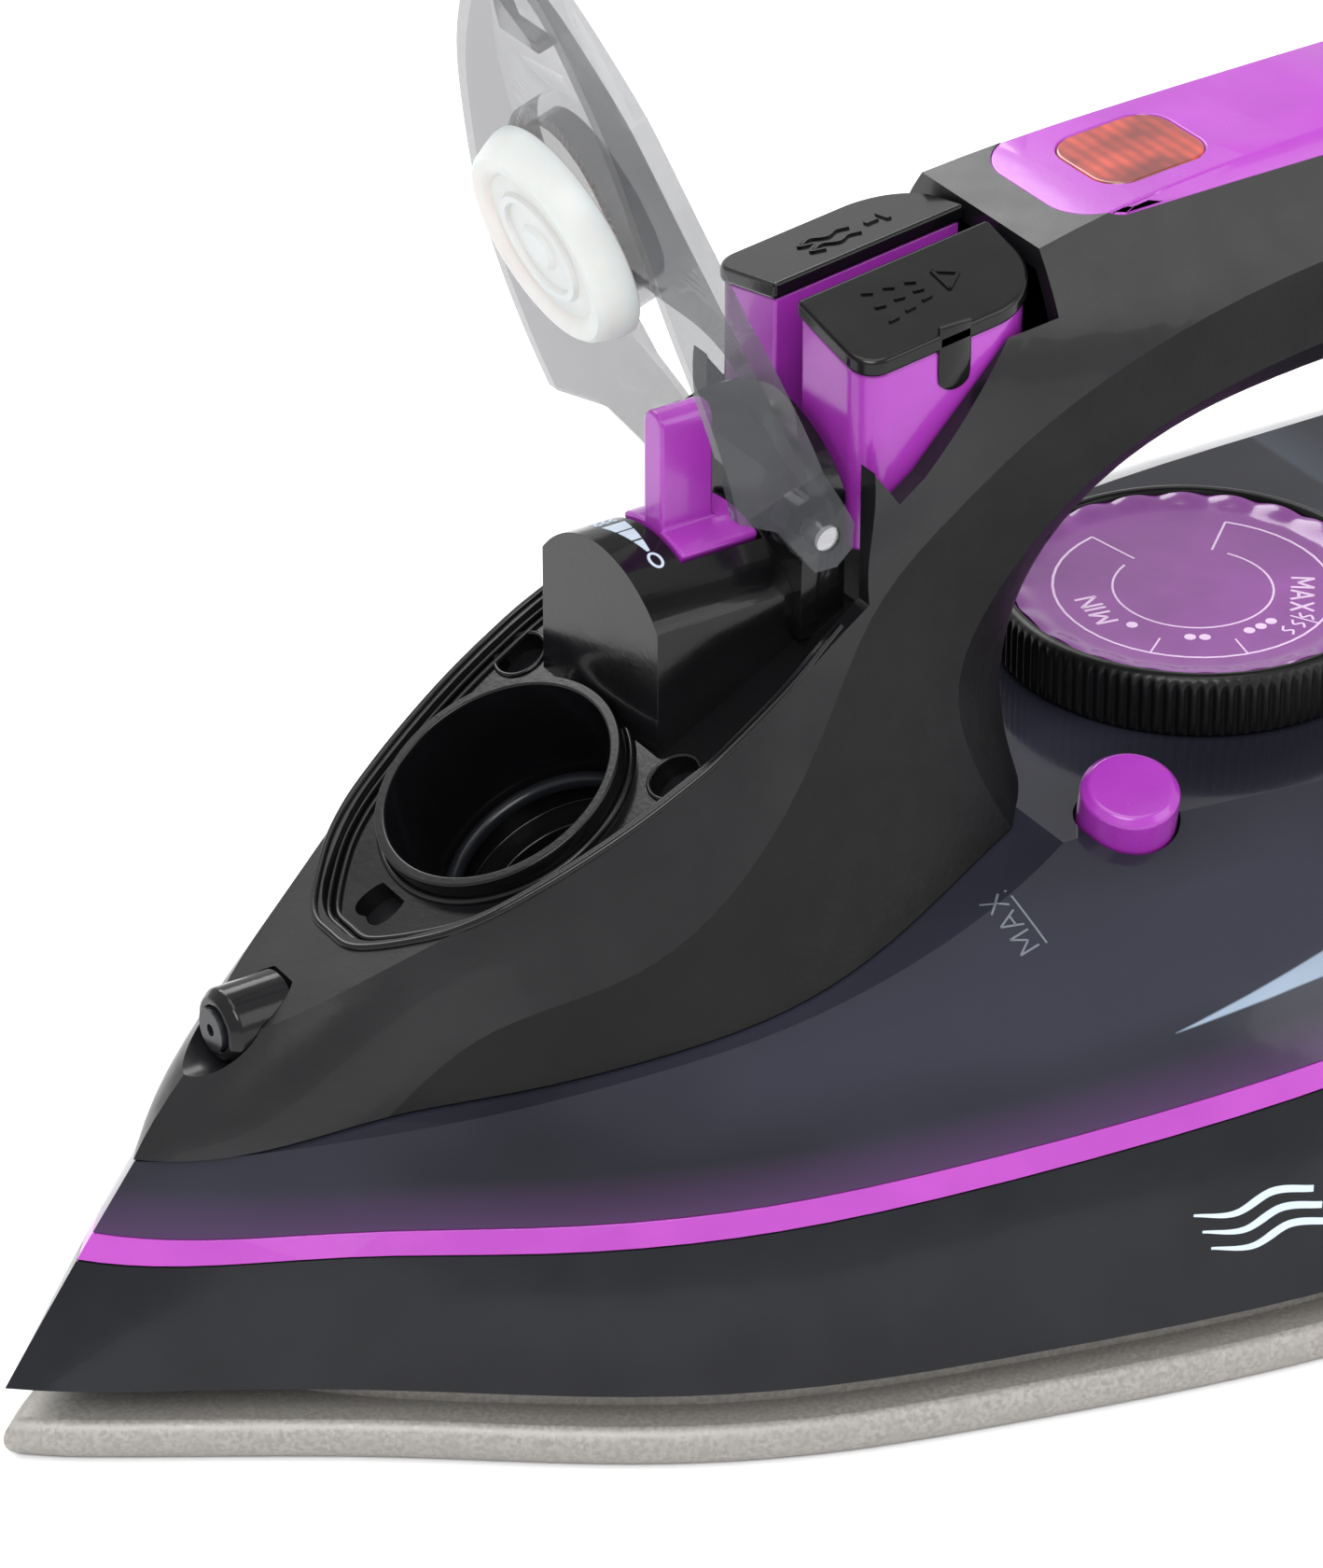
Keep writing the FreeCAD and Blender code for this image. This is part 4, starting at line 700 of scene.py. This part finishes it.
def button_tongue():
    """Small rounded tongue that hangs from the near cap down the side of its button."""
    outline = [(-1.9, 2.5), (-1.9, -3.0), (-1.4, -4.3), (0, -4.8), (1.4, -4.3), (1.9, -3.0), (1.9, 2.5)]
    edge = smooth_line(outline, 60)
    centre = np.array([104.6 - NOSE_REACH, 0.0, 103.0])
    rings = []
    for y, shrink in ((-13.5, 1.0), (-13.82, 1.0), (-13.95, 0.9)):
        ring = np.column_stack([edge[:, 0] * shrink, np.full(len(edge), y), edge[:, 1] * shrink])
        rings.append(ring + centre)
    mesh = outward(grid_mesh("button_tongue", np.stack(rings), (False, True), capped=True))
    finish_mesh("button_tongue", mesh, BLACK, "spray_button")


def side_patch(node, centre, reading, outwards):
    """Laying function for marks on the hull: every place is sounded on the CAD side, then raised."""
    mesh = bmesh.new()
    mesh.from_mesh(frame["nodes"][node].data)
    tree = BVHTree.FromBMesh(mesh)
    mesh.free()
    normal = np.asarray(outwards, float) / np.linalg.norm(outwards)
    reading = np.asarray(reading, float) - np.dot(reading, normal) * normal
    reading /= np.linalg.norm(reading)
    upright = np.cross(normal, reading)
    clear, reach = 12, 40
    start = np.asarray(centre, float) + clear * normal

    def lay(place, rise):
        spots = start + place[:, :1] * reading + place[:, 1:] * upright
        depth = [tree.ray_cast(Vector(spot * MM), Vector(-normal), reach * MM)[3] for spot in spots]
        known = np.array([clear if way is None else way / MM for way in depth])
        return spots + (rise - known)[:, None] * normal

    return lay


def hull_marks():
    """Water limit on the tank, and plumes of steam as a plain sign on the skirt."""
    lay = side_patch("water_tank", (100.4 - NOSE_REACH, -31.7, 46.0), (-1.1, 5.6, 3.8), (-0.1, -0.6, 0.8))
    strokes = lettering("MAX", (-3.2, -1.2), (1, 0), 2.4, 0.22)
    strokes.append((((-3.5, -2.0), (3.5, -2.0)), 0.22))
    marks("tank_limit", strokes, lay, DIM_PRINT, "iron_body", 0.05)
    lay = side_patch("skirt", (116.0 - NOSE_REACH, -56.0, 18.0), (1, -0.1, 0.07), (0, -1, 0.12))
    strokes = []
    for k in range(3):
        wave = [(-7 + 4.4 * step + 0.6 * k, 2.0 - 2.0 * k + 0.55 * (-1) ** step) for step in range(4)]
        strokes.append((wave, (0.25, 0.85, 0.7)))
    marks("skirt_plumes", strokes, lay, PALE_PRINT, "iron_body", 0.05)


regulator_marks()
button_marks()
button_tongue()
hull_marks()


# ---------------------------------------------------------------- floor, light and camera
def studio():
    """Pale floor, four soft lights and an even pale surround."""
    mesh = bpy.data.meshes.new("floor")
    reach = 6.0
    corners = [(-reach, -reach, 0), (reach, -reach, 0), (reach, reach, 0), (-reach, reach, 0)]
    mesh.from_pydata(corners, [], [(0, 1, 2, 3)])
    floor = bpy.data.objects.new("floor", mesh)
    bpy.context.scene.collection.objects.link(floor)
    pale = Finish("pale_floor", (0.86, 0.86, 0.87, 1.0), 0.7)
    pale.colour(pale.mix(pale.noise(400.0, 2.0), (0.85, 0.85, 0.86, 1.0), (0.88, 0.88, 0.885, 1.0)))
    mesh.materials.append(pale.material)
    for name, place, power, span in (("key", (-0.9, -1.0, 1.5), 22.0, 1.1), ("fill", (1.0, -1.3, 0.9), 9.0, 1.3),
                                     ("back", (0.2, 1.4, 1.3), 18.0, 1.2), ("top", (-0.1, 0.0, 1.9), 12.0, 1.4)):
        lamp = bpy.data.lights.new(name, "AREA")
        lamp.energy = power
        lamp.size = span
        lamp.shape = "DISK"
        light = bpy.data.objects.new(name, lamp)
        light.location = place
        light.rotation_euler = (Vector((0, 0, 0.05)) - Vector(place)).to_track_quat("-Z", "Y").to_euler()
        bpy.context.scene.collection.objects.link(light)
    world = bpy.data.worlds.new("surround")
    bpy.context.scene.world = world
    world.use_nodes = True
    background = world.node_tree.nodes["Background"]
    background.inputs["Color"].default_value = (0.94, 0.94, 0.945, 1.0)
    background.inputs["Strength"].default_value = 0.85


def stand_camera():
    """Long lens, standing off the nose's near side and looking down on the tank and the handle."""
    right = Vector((0.8406, -0.5417, 0.0))
    up = Vector((0.2798, 0.4342, 0.8563))
    back = Vector((-0.4639, -0.7198, 0.5165))
    lens = bpy.data.cameras.new("camera")
    lens.sensor_fit = "VERTICAL"
    lens.sensor_height = 36.0
    lens.lens = 159.0
    lens.clip_end = 20.0
    camera = bpy.data.objects.new("camera", lens)
    turn = Matrix((right, up, back)).transposed().to_4x4()
    camera.matrix_world = Matrix.Translation(Vector((-392.4, -510.2, 419.9)) * MM) @ turn
    bpy.context.scene.collection.objects.link(camera)
    bpy.context.scene.camera = camera


studio()
stand_camera()
bpy.context.scene.view_settings.view_transform = "Standard"
